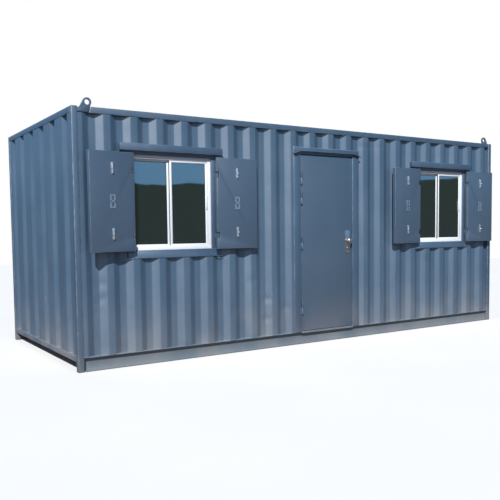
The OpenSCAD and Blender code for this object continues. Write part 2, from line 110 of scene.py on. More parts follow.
def solid_boxes(node: str) -> list[Box]:
    """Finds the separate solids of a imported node.

    Args:
        node: The node's name.

    Returns:
        One box for each solid, from left to right and then from low to high.
    """
    mesh = bmesh.new()
    mesh.from_mesh(frame["nodes"][node].data)
    bmesh.ops.remove_doubles(mesh, verts=mesh.verts, dist=1e-5)
    left = set(mesh.verts)
    boxes = []
    while left:
        queue = [left.pop()]
        island = []
        while queue:
            vert = queue.pop()
            island.append(vert.co.copy())
            near = {edge.other_vert(vert) for edge in vert.link_edges} & left
            left -= near
            queue.extend(near)
        boxes.append(box_of(island))
    mesh.free()
    return sorted(boxes, key=lambda b: (round(b.low.x, 3), round(b.low.z, 3)))


# ---- shader graphs ----------------------------------------------------------------


class Graph:
    """Short ways to add shader nodes to one tree and join them."""

    def __init__(self, tree: bpy.types.NodeTree) -> None:
        """Works on the given tree."""
        self.nodes = tree.nodes
        self.links = tree.links

    def feed(self, socket: bpy.types.NodeSocket, value: Any) -> None:
        """Links a socket to an input, or sets the input's own value.

        Args:
            socket: The input.
            value: The socket or the value.
        """
        if isinstance(value, bpy.types.NodeSocket):
            self.links.new(value, socket)
        else:
            socket.default_value = value

    def node(self, kind: str, inputs: dict[str, Any] | None = None, **settings: Any) -> bpy.types.Node:
        """Adds a node.

        Args:
            kind: The node's type.
            inputs: Values or sockets for its named inputs.
            **settings: Its own settings.

        Returns:
            The new node.
        """
        made = self.nodes.new(kind)
        for name, value in settings.items():
            setattr(made, name, value)
        for name, value in (inputs or {}).items():
            self.feed(made.inputs[name], value)
        return made

    def math(self, operation: str, first: Any, second: Any = 0.0,
             clamp: bool = False) -> bpy.types.NodeSocket:
        """Adds a Math node.

        Args:
            operation: What it does.
            first: Its first value or socket.
            second: Its second value or socket.
            clamp: Whether the result is held between 0 and 1.

        Returns:
            Its output.
        """
        made = self.node("ShaderNodeMath", operation=operation, use_clamp=clamp)
        self.feed(made.inputs[0], first)
        self.feed(made.inputs[1], second)
        return made.outputs[0]

    def fade(self, value: Any, start: Any, end: Any) -> bpy.types.NodeSocket:
        """Adds a smooth step from 0 to 1.

        Args:
            value: The value or socket that it reads.
            start: Where it leaves 0.
            end: Where it reaches 1.

        Returns:
            Its output.
        """
        made = self.node("ShaderNodeMapRange", interpolation_type="SMOOTHSTEP")
        for place, given in enumerate((value, start, end)):
            self.feed(made.inputs[place], given)
        return made.outputs[0]

    def mix(self, share: Any, first: Any, second: Any, blend: str = "MIX") -> bpy.types.NodeSocket:
        """Mixes two colours.

        Args:
            share: The share of the second colour.
            first: The first colour or socket.
            second: The second colour or socket.
            blend: How they mix.

        Returns:
            The mixed colour.
        """
        made = self.node("ShaderNodeMix", data_type="RGBA", blend_type=blend)
        for place, given in ((0, share), (6, first), (7, second)):
            self.feed(made.inputs[place], given)
        return made.outputs[2]

    def place(self, stretch: Color = (1.0, 1.0, 1.0)) -> bpy.types.NodeSocket:
        """Gives the point on the piece, stretched along each axis.

        Args:
            stretch: The factor for each axis.

        Returns:
            The stretched point.
        """
        where = self.node("ShaderNodeTexCoord").outputs["Object"]
        made = self.node("ShaderNodeVectorMath", operation="MULTIPLY")
        self.feed(made.inputs[0], where)
        self.feed(made.inputs[1], stretch)
        return made.outputs[0]

    def cloud(self, scale: Any, detail: float = 3.0,
              stretch: Color = (1.0, 1.0, 1.0)) -> bpy.types.NodeSocket:
        """Soft noise over the piece, from 0 to 1."""
        inputs = {"Vector": self.place(stretch), "Scale": scale, "Detail": detail}
        return self.node("ShaderNodeTexNoise", inputs).outputs["Fac"]


class Effect:
    """A shader node group that several finishes share, built once."""

    name = "effect"
    inputs: tuple[tuple[str, str, Any], ...] = ()
    outputs: tuple[tuple[str, str], ...] = ()

    def draw(self, graph: Graph, given: dict[str, Any]) -> dict[str, Any]:
        """Draws the group's nodes and gives a socket for each output."""
        raise NotImplementedError

    def tree(self) -> bpy.types.NodeTree:
        """Makes the group's tree at its first use.

        Returns:
            The tree.
        """
        kept = bpy.data.node_groups.get(self.name)
        if kept:
            return kept
        tree = bpy.data.node_groups.new(self.name, "ShaderNodeTree")
        for name, kind, value in self.inputs:
            socket = tree.interface.new_socket(name, in_out="INPUT", socket_type="NodeSocket" + kind)
            socket.default_value = value
        for name, kind in self.outputs:
            tree.interface.new_socket(name, in_out="OUTPUT", socket_type="NodeSocket" + kind)
        graph = Graph(tree)
        source = graph.node("NodeGroupInput")
        target = graph.node("NodeGroupOutput")
        made = self.draw(graph, {name: source.outputs[name] for name, _, _ in self.inputs})
        for name, socket in made.items():
            graph.feed(target.inputs[name], socket)
        return tree

    def add(self, graph: Graph, **values: Any) -> dict[str, bpy.types.NodeSocket]:
        """Places the group in a material.

        Args:
            graph: The material's graph.
            **values: Values or sockets, with underscores for spaces in names.

        Returns:
            Its output sockets by name.
        """
        made = graph.node("ShaderNodeGroup", node_tree=self.tree())
        for name, value in values.items():
            graph.feed(made.inputs[name.replace("_", " ")], value)
        return {name: made.outputs[name] for name, _ in self.outputs}


class PaintFilm(Effect):
    """Sprayed paint: faded clouds, runs down the face and the skin of orange peel."""

    name = "Paint film"
    inputs = (
        ("Color", "Color", (0.2, 0.3, 0.4, 1.0)),
        ("Faded", "Color", (0.3, 0.4, 0.5, 1.0)),
        ("Mottle", "Float", 0.3),
        ("Runs", "Float", 0.2),
    )
    outputs = (("Color", "Color"), ("Matt", "Float"), ("Height", "Float"))

    def draw(self, graph: Graph, given: dict[str, Any]) -> dict[str, Any]:
        """Draws the effect's nodes.

        Args:
            graph: The group's own nodes.
            given: The group's inputs by name.

        Returns:
            The group's outputs by name.
        """
        broad = graph.fade(graph.cloud(1.7, 4.0), 0.32, 0.72)
        runs = graph.fade(graph.cloud(9.0, 4.0, (1.0, 1.0, 0.05)), 0.42, 0.75)
        fine = graph.cloud(38.0, 3.0)
        share = graph.math("MULTIPLY", broad, given["Mottle"])
        share = graph.math("ADD", share, graph.math("MULTIPLY", runs, given["Runs"]))
        share = graph.math("MULTIPLY", share, graph.math("ADD", fine, 0.5), clamp=True)
        peel = graph.math("MULTIPLY", graph.cloud(420.0, 2.0), 0.04)
        wave = graph.cloud(5.0, 1.0)
        return {
            "Color": graph.mix(share, given["Color"], given["Faded"]),
            "Matt": graph.math("MULTIPLY", share, 0.10),
            "Height": graph.math("ADD", peel, wave),
        }


class Dust(Effect):
    """Road dust and splashes that thin out with height, and grime in uneven patches."""

    name = "Dust"
    inputs = (
        ("Color", "Color", (0.2, 0.3, 0.4, 1.0)),
        ("Dust", "Color", (0.21, 0.205, 0.21, 1.0)),
        ("Amount", "Float", 0.5),
        ("Reach", "Float", 0.8),
    )
    outputs = (("Color", "Color"), ("Mask", "Float"))

    def draw(self, graph: Graph, given: dict[str, Any]) -> dict[str, Any]:
        """Draws the effect's nodes.

        Args:
            graph: The group's own nodes.
            given: The group's inputs by name.

        Returns:
            The group's outputs by name.
        """
        split = graph.node("ShaderNodeSeparateXYZ", {"Vector": graph.place()})
        height = graph.math("DIVIDE", split.outputs["Z"], given["Reach"])
        low = graph.math("SUBTRACT", 1.0, graph.fade(height, 0.0, 1.0))
        patch = graph.fade(graph.cloud(3.2, 5.0, (1.0, 1.0, 0.6)), 0.3, 0.66)
        specks = graph.fade(graph.cloud(90.0, 2.0), 0.56, 0.7)
        share = graph.math("MULTIPLY", graph.math("MULTIPLY", low, low), graph.math("ADD", patch, 0.35))
        share = graph.math("ADD", share, graph.math("MULTIPLY", graph.math("MULTIPLY", specks, low), 0.35))
        share = graph.math("MULTIPLY", share, given["Amount"], clamp=True)
        return {"Color": graph.mix(share, given["Color"], given["Dust"]), "Mask": share}


class EdgeWear(Effect):
    """Paint thinned to a pale line where an edge is rubbed."""

    name = "Edge wear"
    inputs = (
        ("Color", "Color", (0.2, 0.3, 0.4, 1.0)),
        ("Bare", "Color", (0.6, 0.64, 0.68, 1.0)),
        ("Amount", "Float", 0.5),
    )
    outputs = (("Color", "Color"),)

    def draw(self, graph: Graph, given: dict[str, Any]) -> dict[str, Any]:
        """Draws the effect's nodes.

        Args:
            graph: The group's own nodes.
            given: The group's inputs by name.

        Returns:
            The group's outputs by name.
        """
        edge = graph.node("ShaderNodeAttribute", attribute_name="worn").outputs["Fac"]
        patchy = graph.fade(graph.cloud(14.0, 5.0), 0.4, 0.62)
        share = graph.math("MULTIPLY", graph.math("MULTIPLY", edge, patchy), given["Amount"], clamp=True)
        return {"Color": graph.mix(share, given["Color"], given["Bare"])}


class Scuffs(Effect):
    """Short scratches and rubbed marks in several directions."""

    name = "Scuffs"
    inputs = (
        ("Color", "Color", (0.2, 0.3, 0.4, 1.0)),
        ("Mark", "Color", (0.5, 0.56, 0.62, 1.0)),
        ("Amount", "Float", 0.4),
    )
    outputs = (("Color", "Color"),)

    def draw(self, graph: Graph, given: dict[str, Any]) -> dict[str, Any]:
        """Draws the effect's nodes.

        Args:
            graph: The group's own nodes.
            given: The group's inputs by name.

        Returns:
            The group's outputs by name.
        """
        upright = graph.fade(graph.cloud(70.0, 1.0, (1.0, 1.0, 0.10)), 0.72, 0.80)
        level = graph.fade(graph.cloud(150.0, 1.0, (0.2, 0.2, 1.0)), 0.76, 0.84)
        where = graph.fade(graph.cloud(1.9, 3.0), 0.52, 0.68)
        share = graph.math("MULTIPLY", graph.math("MAXIMUM", upright, level), where)
        share = graph.math("MULTIPLY", share, given["Amount"], clamp=True)
        return {"Color": graph.mix(share, given["Color"], given["Mark"])}


class Brushing(Effect):
    """Fine drawn lines and soft tarnish on bare metal."""

    name = "Brushing"
    inputs = (
        ("Color", "Color", (0.7, 0.7, 0.7, 1.0)),
        ("Tarnish", "Color", (0.4, 0.4, 0.42, 1.0)),
        ("Amount", "Float", 0.4),
    )
    outputs = (("Color", "Color"), ("Matt", "Float"), ("Height", "Float"))

    def draw(self, graph: Graph, given: dict[str, Any]) -> dict[str, Any]:
        """Draws the effect's nodes.

        Args:
            graph: The group's own nodes.
            given: The group's inputs by name.

        Returns:
            The group's outputs by name.
        """
        lines = graph.cloud(900.0, 2.0, (1.0, 1.0, 0.04))
        spots = graph.fade(graph.cloud(70.0, 4.0), 0.42, 0.7)
        share = graph.math("MULTIPLY", spots, given["Amount"], clamp=True)
        return {
            "Color": graph.mix(share, given["Color"], given["Tarnish"]),
            "Matt": graph.math("MULTIPLY", graph.math("ADD", lines, share), 0.18),
            "Height": graph.math("MULTIPLY", lines, 0.05),
        }


class BoardGrain(Effect):
    """Long grain of rotary-cut veneer."""

    name = "Board grain"
    inputs = (
        ("Color", "Color", (0.6, 0.45, 0.3, 1.0)),
        ("Dark", "Color", (0.4, 0.28, 0.17, 1.0)),
        ("Amount", "Float", 0.6),
    )
    outputs = (("Color", "Color"), ("Height", "Float"))

    def draw(self, graph: Graph, given: dict[str, Any]) -> dict[str, Any]:
        """Draws the effect's nodes.

        Args:
            graph: The group's own nodes.
            given: The group's inputs by name.

        Returns:
            The group's outputs by name.
        """
        bands = graph.fade(graph.cloud(11.0, 4.0, (0.12, 1.0, 1.0)), 0.35, 0.7)
        pores = graph.fade(graph.cloud(160.0, 2.0, (0.05, 1.0, 1.0)), 0.5, 0.68)
        share = graph.math("ADD", graph.math("MULTIPLY", bands, 0.6), graph.math("MULTIPLY", pores, 0.4))
        share = graph.math("MULTIPLY", share, given["Amount"], clamp=True)
        return {"Color": graph.mix(share, given["Color"], given["Dark"]), "Height": share}


def rgba(color: Color) -> tuple[float, float, float, float]:
    """A colour with full alpha."""
    return (*color, 1.0)


def new_material(name: str) -> tuple[bpy.types.Material, Graph, bpy.types.Node]:
    """Starts a material.

    Args:
        name: The material's name.

    Returns:
        The material, its graph and its Principled BSDF.
    """
    material = bpy.data.materials.new(name)
    material.use_nodes = True
    graph = Graph(material.node_tree)
    shader = material.node_tree.nodes["Principled BSDF"]
    return material, graph, shader


# ---- finishes -----------------------------------------------------------------------


@dataclass(frozen=True)
class Paint:
    """Gloss paint on steel, faded, dusty low down and rubbed at its edges."""

    name: str
    color: Color
    faded: Color
    roughness: float = 0.36
    mottle: float = 0.5
    runs: float = 0.4
    dust: float = 0.5
    dust_reach: float = 0.9
    wear: float = 0.22
    scuffs: float = 0.4
    bump: float = 0.0012
    index: float = 2.1
    dust_matt: float = 0.35

    def make(self) -> bpy.types.Material:
        """Builds the material."""
        material, graph, shader = new_material(self.name)
        film = PaintFilm().add(
            graph, Color=rgba(self.color), Faded=rgba(self.faded), Mottle=self.mottle, Runs=self.runs
        )
        scuffs = Scuffs().add(graph, Color=film["Color"], Amount=self.scuffs)
        wear = EdgeWear().add(graph, Color=scuffs["Color"], Amount=self.wear)
        dust = Dust().add(graph, Color=wear["Color"], Amount=self.dust, Reach=self.dust_reach)
        graph.feed(shader.inputs["Base Color"], dust["Color"])
        matt = graph.math("ADD", film["Matt"], graph.math("MULTIPLY", dust["Mask"], self.dust_matt))
        graph.feed(shader.inputs["Roughness"], graph.math("ADD", matt, self.roughness, clamp=True))
        bump = graph.node("ShaderNodeBump", {"Height": film["Height"], "Distance": self.bump})
        graph.feed(shader.inputs["Normal"], bump.outputs["Normal"])
        shader.inputs["IOR"].default_value = self.index
        return material


@dataclass(frozen=True)
class Metal:
    """Bare or plated metal with drawn lines and tarnish."""

    name: str
    color: Color
    tarnish: Color
    roughness: float = 0.3
    metallic: float = 1.0
    amount: float = 0.4

    def make(self) -> bpy.types.Material:
        """Builds the material."""
        material, graph, shader = new_material(self.name)
        lines = Brushing().add(graph, Color=rgba(self.color), Tarnish=rgba(self.tarnish), Amount=self.amount)
        graph.feed(shader.inputs["Base Color"], lines["Color"])
        graph.feed(shader.inputs["Roughness"], graph.math("ADD", lines["Matt"], self.roughness))
        bump = graph.node("ShaderNodeBump", {"Height": lines["Height"], "Distance": 0.0004})
        graph.feed(shader.inputs["Normal"], bump.outputs["Normal"])
        shader.inputs["Metallic"].default_value = self.metallic
        return material


@dataclass(frozen=True)
class Board:
    """Veneered or faced board."""

    name: str
    color: Color
    dark: Color
    amount: float = 0.6
    roughness: float = 0.6

    def make(self) -> bpy.types.Material:
        """Builds the material."""
        material, graph, shader = new_material(self.name)
        grain = BoardGrain().add(graph, Color=rgba(self.color), Dark=rgba(self.dark), Amount=self.amount)
        graph.feed(shader.inputs["Base Color"], grain["Color"])
        bump = graph.node("ShaderNodeBump", {"Height": grain["Height"], "Distance": 0.0005})
        graph.feed(shader.inputs["Normal"], bump.outputs["Normal"])
        shader.inputs["Roughness"].default_value = self.roughness
        return material


@dataclass(frozen=True)
class Pane:
    """Tinted, slightly reflective window glass with a thin film of dust."""

    name: str = "window glass"
    tint: Color = (0.15, 0.21, 0.22)
    index: float = 2.2
    clear: float = 0.92
    haze: float = 0.05

    def make(self) -> bpy.types.Material:
        """Builds the material."""
        material, graph, shader = new_material(self.name)
        haze = graph.fade(graph.cloud(9.0, 4.0), 0.3, 0.9)
        graph.feed(shader.inputs["Roughness"], graph.math("MULTIPLY", haze, self.haze))
        dust = Dust().add(graph, Color=rgba(self.tint), Amount=0.1, Reach=2.2)
        graph.feed(shader.inputs["Base Color"], dust["Color"])
        shader.inputs["Transmission Weight"].default_value = self.clear
        shader.inputs["IOR"].default_value = self.index
        shader.inputs["Coat Weight"].default_value = 1.0
        shader.inputs["Coat IOR"].default_value = self.index
        shader.inputs["Coat Roughness"].default_value = 0.01
        return material


@dataclass(frozen=True)
class Rubber:
    """A black or coloured finish: glazing rubber, a painted dot, and black painted shade in a slot or gap."""

    name: str
    color: Color
    roughness: float = 0.6

    def make(self) -> bpy.types.Material:
        """Builds the material."""
        material, graph, shader = new_material(self.name)
        dust = Dust().add(graph, Color=rgba(self.color), Amount=0.5, Reach=2.4)
        graph.feed(shader.inputs["Base Color"], dust["Color"])
        graph.feed(shader.inputs["Roughness"], graph.math("ADD", dust["Mask"], self.roughness, clamp=True))
        return material


class Finishes:
    """Every finish of the cabin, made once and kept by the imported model's slot name."""

    def __init__(self) -> None:
        """Builds the materials."""
        blue = (0.041, 0.084, 0.143)
        faded = (0.064, 0.116, 0.181)
        self.frame = Paint("frame paint", blue, faded, roughness=0.44, dust=0.75, dust_reach=0.75).make()
        self.sheet = Paint("sheet paint", (0.051, 0.102, 0.167), (0.080, 0.138, 0.205), roughness=0.44,
                           mottle=0.55, runs=0.5, dust=0.5, dust_reach=1.0, bump=0.002).make()
        self.door = Paint("door paint", (0.050, 0.090, 0.143), (0.064, 0.105, 0.158), roughness=0.46,
                          mottle=0.4, runs=0.25, dust=0.35, dust_reach=0.9, scuffs=0.3, bump=0.0016).make()
        # The weld paint is paler than the frame paint: a painted highlight for the sun catching the rounded
        # beads, over real mottle, dust and wear.
        self.weld = Paint("painted weld", (0.10, 0.16, 0.24), (0.30, 0.38, 0.46), roughness=0.3,
                          mottle=0.8, dust=0.5, wear=0.3).make()
        self.base = Paint("dusty channel paint", (0.095, 0.135, 0.170), (0.150, 0.185, 0.210), roughness=0.5,
                          mottle=0.9, runs=0.3, dust=0.45, dust_reach=0.4).make()
        self.zinc = Metal("zinc plate", (0.78, 0.79, 0.82), (0.50, 0.50, 0.53), roughness=0.25).make()
        self.steel = Metal("stainless steel", (0.62, 0.60, 0.60), (0.42, 0.36, 0.35), roughness=0.2).make()
        self.mill = Metal("mill aluminium", (0.80, 0.79, 0.77), (0.52, 0.49, 0.46), roughness=0.34,
                          amount=0.7).make()
        self.white = Metal("white coated aluminium", (0.93, 0.96, 0.98), (0.70, 0.73, 0.76), roughness=0.3,
                           metallic=0.0, amount=0.3).make()
        self.deck = Board("deck ply", (0.46, 0.33, 0.20), (0.26, 0.17, 0.10)).make()
        self.lining = Board("lining board", (0.62, 0.53, 0.40), (0.46, 0.36, 0.25), amount=0.5).make()
        self.ceiling = Board("ceiling board", (0.78, 0.78, 0.76), (0.68, 0.68, 0.66), amount=0.3).make()
        self.glass = Pane().make()
        # This black finish also paints shade: on the lock's key slot, and in part on the brush strip beside
        # the outer sash.
        self.rubber = Rubber("glazing rubber", (0.02, 0.02, 0.022)).make()
        self.red = Rubber("red plastic dot", (0.55, 0.03, 0.03), 0.3).make()
        self.slots = {
            self.frame: "frame_paint", self.sheet: "sheet_paint", self.door: "door_paint",
            self.weld: "frame_paint", self.base: "frame_paint", self.zinc: "bolt_zinc",
            self.steel: "handle_steel", self.mill: "threshold_alu", self.white: "window_alu",
            self.deck: "deck_board", self.lining: "lining_board", self.ceiling: "ceiling_board",
            self.glass: "glass",
        }


# ---- shapes ---------------------------------------------------------------------------


class Form:
    """A mesh that grows from blocks, prisms, turned shapes and beads."""

    def __init__(self) -> None:
        """Starts empty."""
        self.mesh = bmesh.new()
        self.worn = self.mesh.faces.layers.float.new("worn")

    def _soften(self, faces: Sequence[bmesh.types.BMFace], radius: float, steps: int, angle: float) -> None:
        """Rounds the sharp edges of some faces and marks them as worn.

        Args:
            faces: The faces.
            radius: Radius of the rounded edges.
            steps: Facets across a rounded edge.
            angle: The least turn at a sharp edge, in degrees.
        """
        edges = {
            edge for face in faces for edge in face.edges
            if len(edge.link_faces) == 2 and edge.calc_face_angle(0.0) > math.radians(angle)
        }
        if radius <= 0 or not edges:
            return
        made = bmesh.ops.bevel(
            self.mesh, geom=list(edges), offset=radius, offset_type="OFFSET", segments=steps,
            profile=0.5, affect="EDGES", clamp_overlap=True,
        )
        for face in made["faces"]:
            face[self.worn] = 1.0

    def prism(self, outline: Sequence[Point2], axis: Axis, start: float, end: float,
              radius: float = 0.002, steps: int = 2) -> None:
        """Draws an outline out along an axis.

        Args:
            outline: Its points, in the two other axes.
            axis: The direction.
            start: Where it starts along the axis.
            end: Where it ends.
            radius: Radius of its rounded edges.
            steps: Facets across a rounded edge.
        """
        first, second, along = axis.value
        rings = []
        for level in (start, end):
            ring = []
            for point in outline:
                place = [0.0, 0.0, 0.0]
                place[first], place[second], place[along] = point[0], point[1], level
                ring.append(self.mesh.verts.new(place))
            rings.append(ring)
        faces = [self.mesh.faces.new(ring) for ring in rings]
        count = len(outline)
        for i in range(count):
            j = (i + 1) % count
            faces.append(self.mesh.faces.new((rings[0][i], rings[0][j], rings[1][j], rings[1][i])))
        bmesh.ops.recalc_face_normals(self.mesh, faces=faces)
        self._soften(faces, radius, steps, 25.0)

    def block(self, low: Sequence[float], high: Sequence[float], radius: float = 0.002,
              steps: int = 2) -> None:
        """Adds a box with rounded edges."""
        outline = [(low[0], low[1]), (high[0], low[1]), (high[0], high[1]), (low[0], high[1])]
        self.prism(outline, Axis.Z, low[2], high[2], radius, steps)

    def turned(self, profile: Sequence[Point2], base: Vector, axis: Vector, steps: int = 28) -> None:
        """Turns a profile about an axis.

        Args:
            profile: Radius and distance along the axis, from one end to the other.
            base: The point from which distances are measured.
            axis: The direction of the axis.
            steps: Facets round the axis.
        """
        turn = axis.to_track_quat("Z", "Y").to_matrix()
        rings = []
        for radius, along in profile:
            if radius < 1e-6:
                rings.append([self.mesh.verts.new(base + turn @ Vector((0, 0, along)))])
                continue
            ring = []
            for k in range(steps):
                angle = math.tau * k / steps
                spot = Vector((radius * math.cos(angle), radius * math.sin(angle), along))
                ring.append(self.mesh.verts.new(base + turn @ spot))
            rings.append(ring)
        for lower, upper in zip(rings, rings[1:]):
            for k in range(steps):
                n = (k + 1) % steps
                corners = [lower[k % len(lower)], lower[n % len(lower)]]
                corners += [upper[n % len(upper)], upper[k % len(upper)]]
                self.mesh.faces.new(list(dict.fromkeys(corners)))
        for ring in (rings[0], rings[-1]):
            if len(ring) > 1:
                self.mesh.faces.new(ring)

    def tube(self, path: Sequence[Vector], radii: Sequence[float], steps: int = 8) -> None:
        """Sweeps a round section along a path.

        Args:
            path: The points of the path.
            radii: One radius for each point.
            steps: Facets round the section.
        """
        rings = []
        for i, point in enumerate(path):
            ahead = path[min(i + 1, len(path) - 1)] - path[max(i - 1, 0)]
            turn = ahead.to_track_quat("Z", "Y").to_matrix()
            ring = []
            for k in range(steps):
                angle = math.tau * (k + 0.5) / steps
                spot = Vector((radii[i] * math.cos(angle), radii[i] * math.sin(angle), 0.0))
                ring.append(self.mesh.verts.new(point + turn @ spot))
            rings.append(ring)
        for lower, upper in zip(rings, rings[1:]):
            for k in range(steps):
                n = (k + 1) % steps
                self.mesh.faces.new((lower[k], lower[n], upper[n], upper[k]))
        self.mesh.faces.new(rings[0])
        self.mesh.faces.new(rings[-1])

    def bead(self, corners: Sequence[Vector], radius: float = 0.0032, pitch: float = 0.009) -> None:
        """Lays a rippled weld bead, with an uneven swell, along a line of corners.

        Args:
            corners: The points that it passes.
            radius: Its mean radius.
            pitch: The distance between two ripples.
        """
        path: list[Vector] = []
        radii: list[float] = []
        run = 0.0
        for start, end in zip(corners, corners[1:]):
            length = (end - start).length
            count = max(1, round(length / (pitch / 2)))
            for i in range(count):
                spot = start.lerp(end, i / count)
                swell = 1.0 + 0.22 * math.sin(math.tau * (run + i * length / count) / pitch)
                swell += 0.5 * noise.noise(spot * 23.0)
                path.append(spot)
                radii.append(radius * swell)
            run += length
        path.append(corners[-1])
        radii.append(radius)
        self.tube(path, radii, 6)

    def screw(self, head: Vector, out: Vector, radius: float = 0.004) -> None:
        """Adds a pan head with a dished middle, standing out from a face.

        Args:
            head: The middle of the head on the face.
            out: The direction out of the face.
            radius: Radius of the head.
        """
        rise = radius * 0.55
        seat = -0.0004
        profile = [(0.0, seat), (radius, seat), (radius, rise * 0.4), (radius * 0.8, rise * 0.85),
                   (radius * 0.5, rise), (radius * 0.34, rise), (radius * 0.2, rise * 0.55),
                   (0.0, rise * 0.5)]
        self.turned(profile, head, out, 16)

    def sheet(self, columns: Sequence[tuple[float, float]], rows: Sequence[float],
              press: Callable[[float, float, float], float], thick: float) -> None:
        """Adds a folded sheet in the XZ plane with its back one thickness behind.

        Args:
            columns: X and Y of each upright line of the front.
            rows: Heights of the level lines.
            press: Gives the dent, in Y, at an x, y and z.
            thick: Thickness of the sheet.
        """
        grids = []
        for back in (0.0, thick):
            grid = []
            for x, y in columns:
                grid.append([self.mesh.verts.new((x, y + back + press(x, y, z), z)) for z in rows])
            grids.append(grid)
        wide, tall = len(columns), len(rows)
        for grid in grids:
            for i in range(wide - 1):
                for j in range(tall - 1):
                    self.mesh.faces.new((grid[i][j], grid[i + 1][j], grid[i + 1][j + 1], grid[i][j + 1]))
        front, rear = grids
        for i in range(wide - 1):
            for j in (0, tall - 1):
                self.mesh.faces.new((front[i][j], front[i + 1][j], rear[i + 1][j], rear[i][j]))
        for j in range(tall - 1):
            for i in (0, wide - 1):
                self.mesh.faces.new((front[i][j], front[i][j + 1], rear[i][j + 1], rear[i][j]))

    def copy_node(self, node: str, radius: float, steps: int = 2) -> None:
        """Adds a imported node's own shape with its sharp edges rounded.

        Args:
            node: The node's name.
            radius: Radius of the rounded edges.
            steps: Facets across a rounded edge.
        """
        before = set(self.mesh.faces)
        self.mesh.from_mesh(frame["nodes"][node].data)
        faces = [face for face in self.mesh.faces if face not in before]
        verts = list({vert for face in faces for vert in face.verts})
        bmesh.ops.remove_doubles(self.mesh, verts=verts, dist=2e-5)
        faces = [face for face in self.mesh.faces if face not in before]
        edges = list({edge for face in faces for edge in face.edges})
        verts = list({vert for face in faces for vert in face.verts})
        bmesh.ops.dissolve_limit(self.mesh, angle_limit=math.radians(0.5), verts=verts, edges=edges)
        faces = [face for face in self.mesh.faces if face not in before]
        self._soften(faces, radius, steps, 35.0)

    def done(self, name: str, material: bpy.types.Material, body: str, finishes: Finishes,
             move: Matrix | None = None, replaces: Sequence[str] = ()) -> bpy.types.Object:
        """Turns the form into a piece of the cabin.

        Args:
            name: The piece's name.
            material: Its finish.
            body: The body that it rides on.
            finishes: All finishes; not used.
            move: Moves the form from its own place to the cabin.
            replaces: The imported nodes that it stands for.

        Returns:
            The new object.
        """
        if move is not None:
            self.mesh.transform(move)
        bmesh.ops.recalc_face_normals(self.mesh, faces=self.mesh.faces)
        data = bpy.data.meshes.new(name)
        self.mesh.to_mesh(data)
        self.mesh.free()
        data.polygons.foreach_set("use_smooth", [True] * len(data.polygons))
        data.set_sharp_from_angle(angle=math.radians(32))
        data.materials.append(material)
        piece = bpy.data.objects.new(name, data)
        bpy.context.scene.collection.objects.link(piece)
        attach(piece, body)
        if replaces:
            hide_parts(*replaces)
        LOG.info("%s: %d faces", name, len(data.polygons))
        return piece


# ---- frame and base ---------------------------------------------------------------------


@dataclass
class SteelFrame:
    """Posts, rails, channels, bearers and lifting lugs."""

    finishes: Finishes
    tube_radius: float = 0.006
    plate_radius: float = 0.002
    channel_radius: float = 0.0015
    posts: list[Box] = field(default_factory=lambda: solid_boxes("corner_posts"))

    def build(self) -> None:
        """Builds every piece of the frame."""
        self.build_posts()
        self.build_rails()
        self.build_channels()
        self.build_lugs()

    def build_posts(self) -> None:
        """Square posts with their rounded corners."""
        form = Form()
        for post in self.posts:
            form.block(post.low, post.high, self.tube_radius, 3)
        form.done("corner_post_tubes", self.finishes.frame, "cabin", self.finishes, replaces=["corner_posts"])

    def build_rails(self) -> None:
        """Top rails with slanted ends, and the square rails of both ends."""
        for node in ("front_top_rail", "rear_top_rail"):
            form = Form()
            form.prism(self.rail_outline(node), Axis.Y, *self.across(node), self.tube_radius, 3)
            form.done(node + "_tube", self.finishes.frame, "cabin", self.finishes, replaces=[node])
        for node in ("end_top_rails", "end_bottom_rails"):
            form = Form()
            for rail in solid_boxes(node):
                form.block(rail.low, rail.high, self.tube_radius, 3)
            form.done(node[:-1] + "_tubes", self.finishes.frame, "cabin", self.finishes, replaces=[node])

    def across(self, node: str) -> tuple[float, float]:
        """Where a long rail starts and ends in Y."""
        box = node_box(node)
        return box.low.y, box.high.y

    def rail_outline(self, node: str) -> list[Point2]:
        """Outlines a long top rail, whose ends are cut to clear the lugs.

        Args:
            node: The rail's node.

        Returns:
            Its outline in X and Z.
        """
        box = node_box(node)
        upper = [v.co.x for v in frame["nodes"][node].data.vertices if v.co.z > box.high.z - 1e-4]
        return [(box.low.x, box.low.z), (box.high.x, box.low.z),
                (max(upper), box.high.z), (min(upper), box.high.z)]

    def build_channels(self) -> None:
        """Bottom channels and floor bearers."""
        for node in ("front_bottom_channel", "rear_bottom_channel"):
            form = Form()
            form.copy_node(node, self.channel_radius)
            form.done(node + "_steel", self.finishes.base, "cabin", self.finishes, replaces=[node])
        form = Form()
        form.copy_node("floor_bearers", self.channel_radius)
        form.done("floor_bearer_channels", self.finishes.frame, "cabin", self.finishes,
                  replaces=["floor_bearers"])

    def build_lugs(self) -> None:
        """Lug plates with their eyes."""
        form = Form()
        form.copy_node("lifting_lugs", self.plate_radius)
        form.done("lifting_lug_plates", self.finishes.frame, "cabin", self.finishes,
                  replaces=["lifting_lugs"])


# ---- corrugated walls ---------------------------------------------------------------------


@dataclass(frozen=True)
class Dent:
    """A soft dent, with its middle, its reach along the wall and up it, and its depth."""

    x: float
    z: float
    wide: float
    tall: float
    deep: float

    def at(self, x: float, z: float) -> float:
        """Depth of the dent at a point of the wall."""
        across = ((x - self.x) / self.wide) ** 2 + ((z - self.z) / self.tall) ** 2
        return self.deep * math.exp(-across) if across < 9 else 0.0


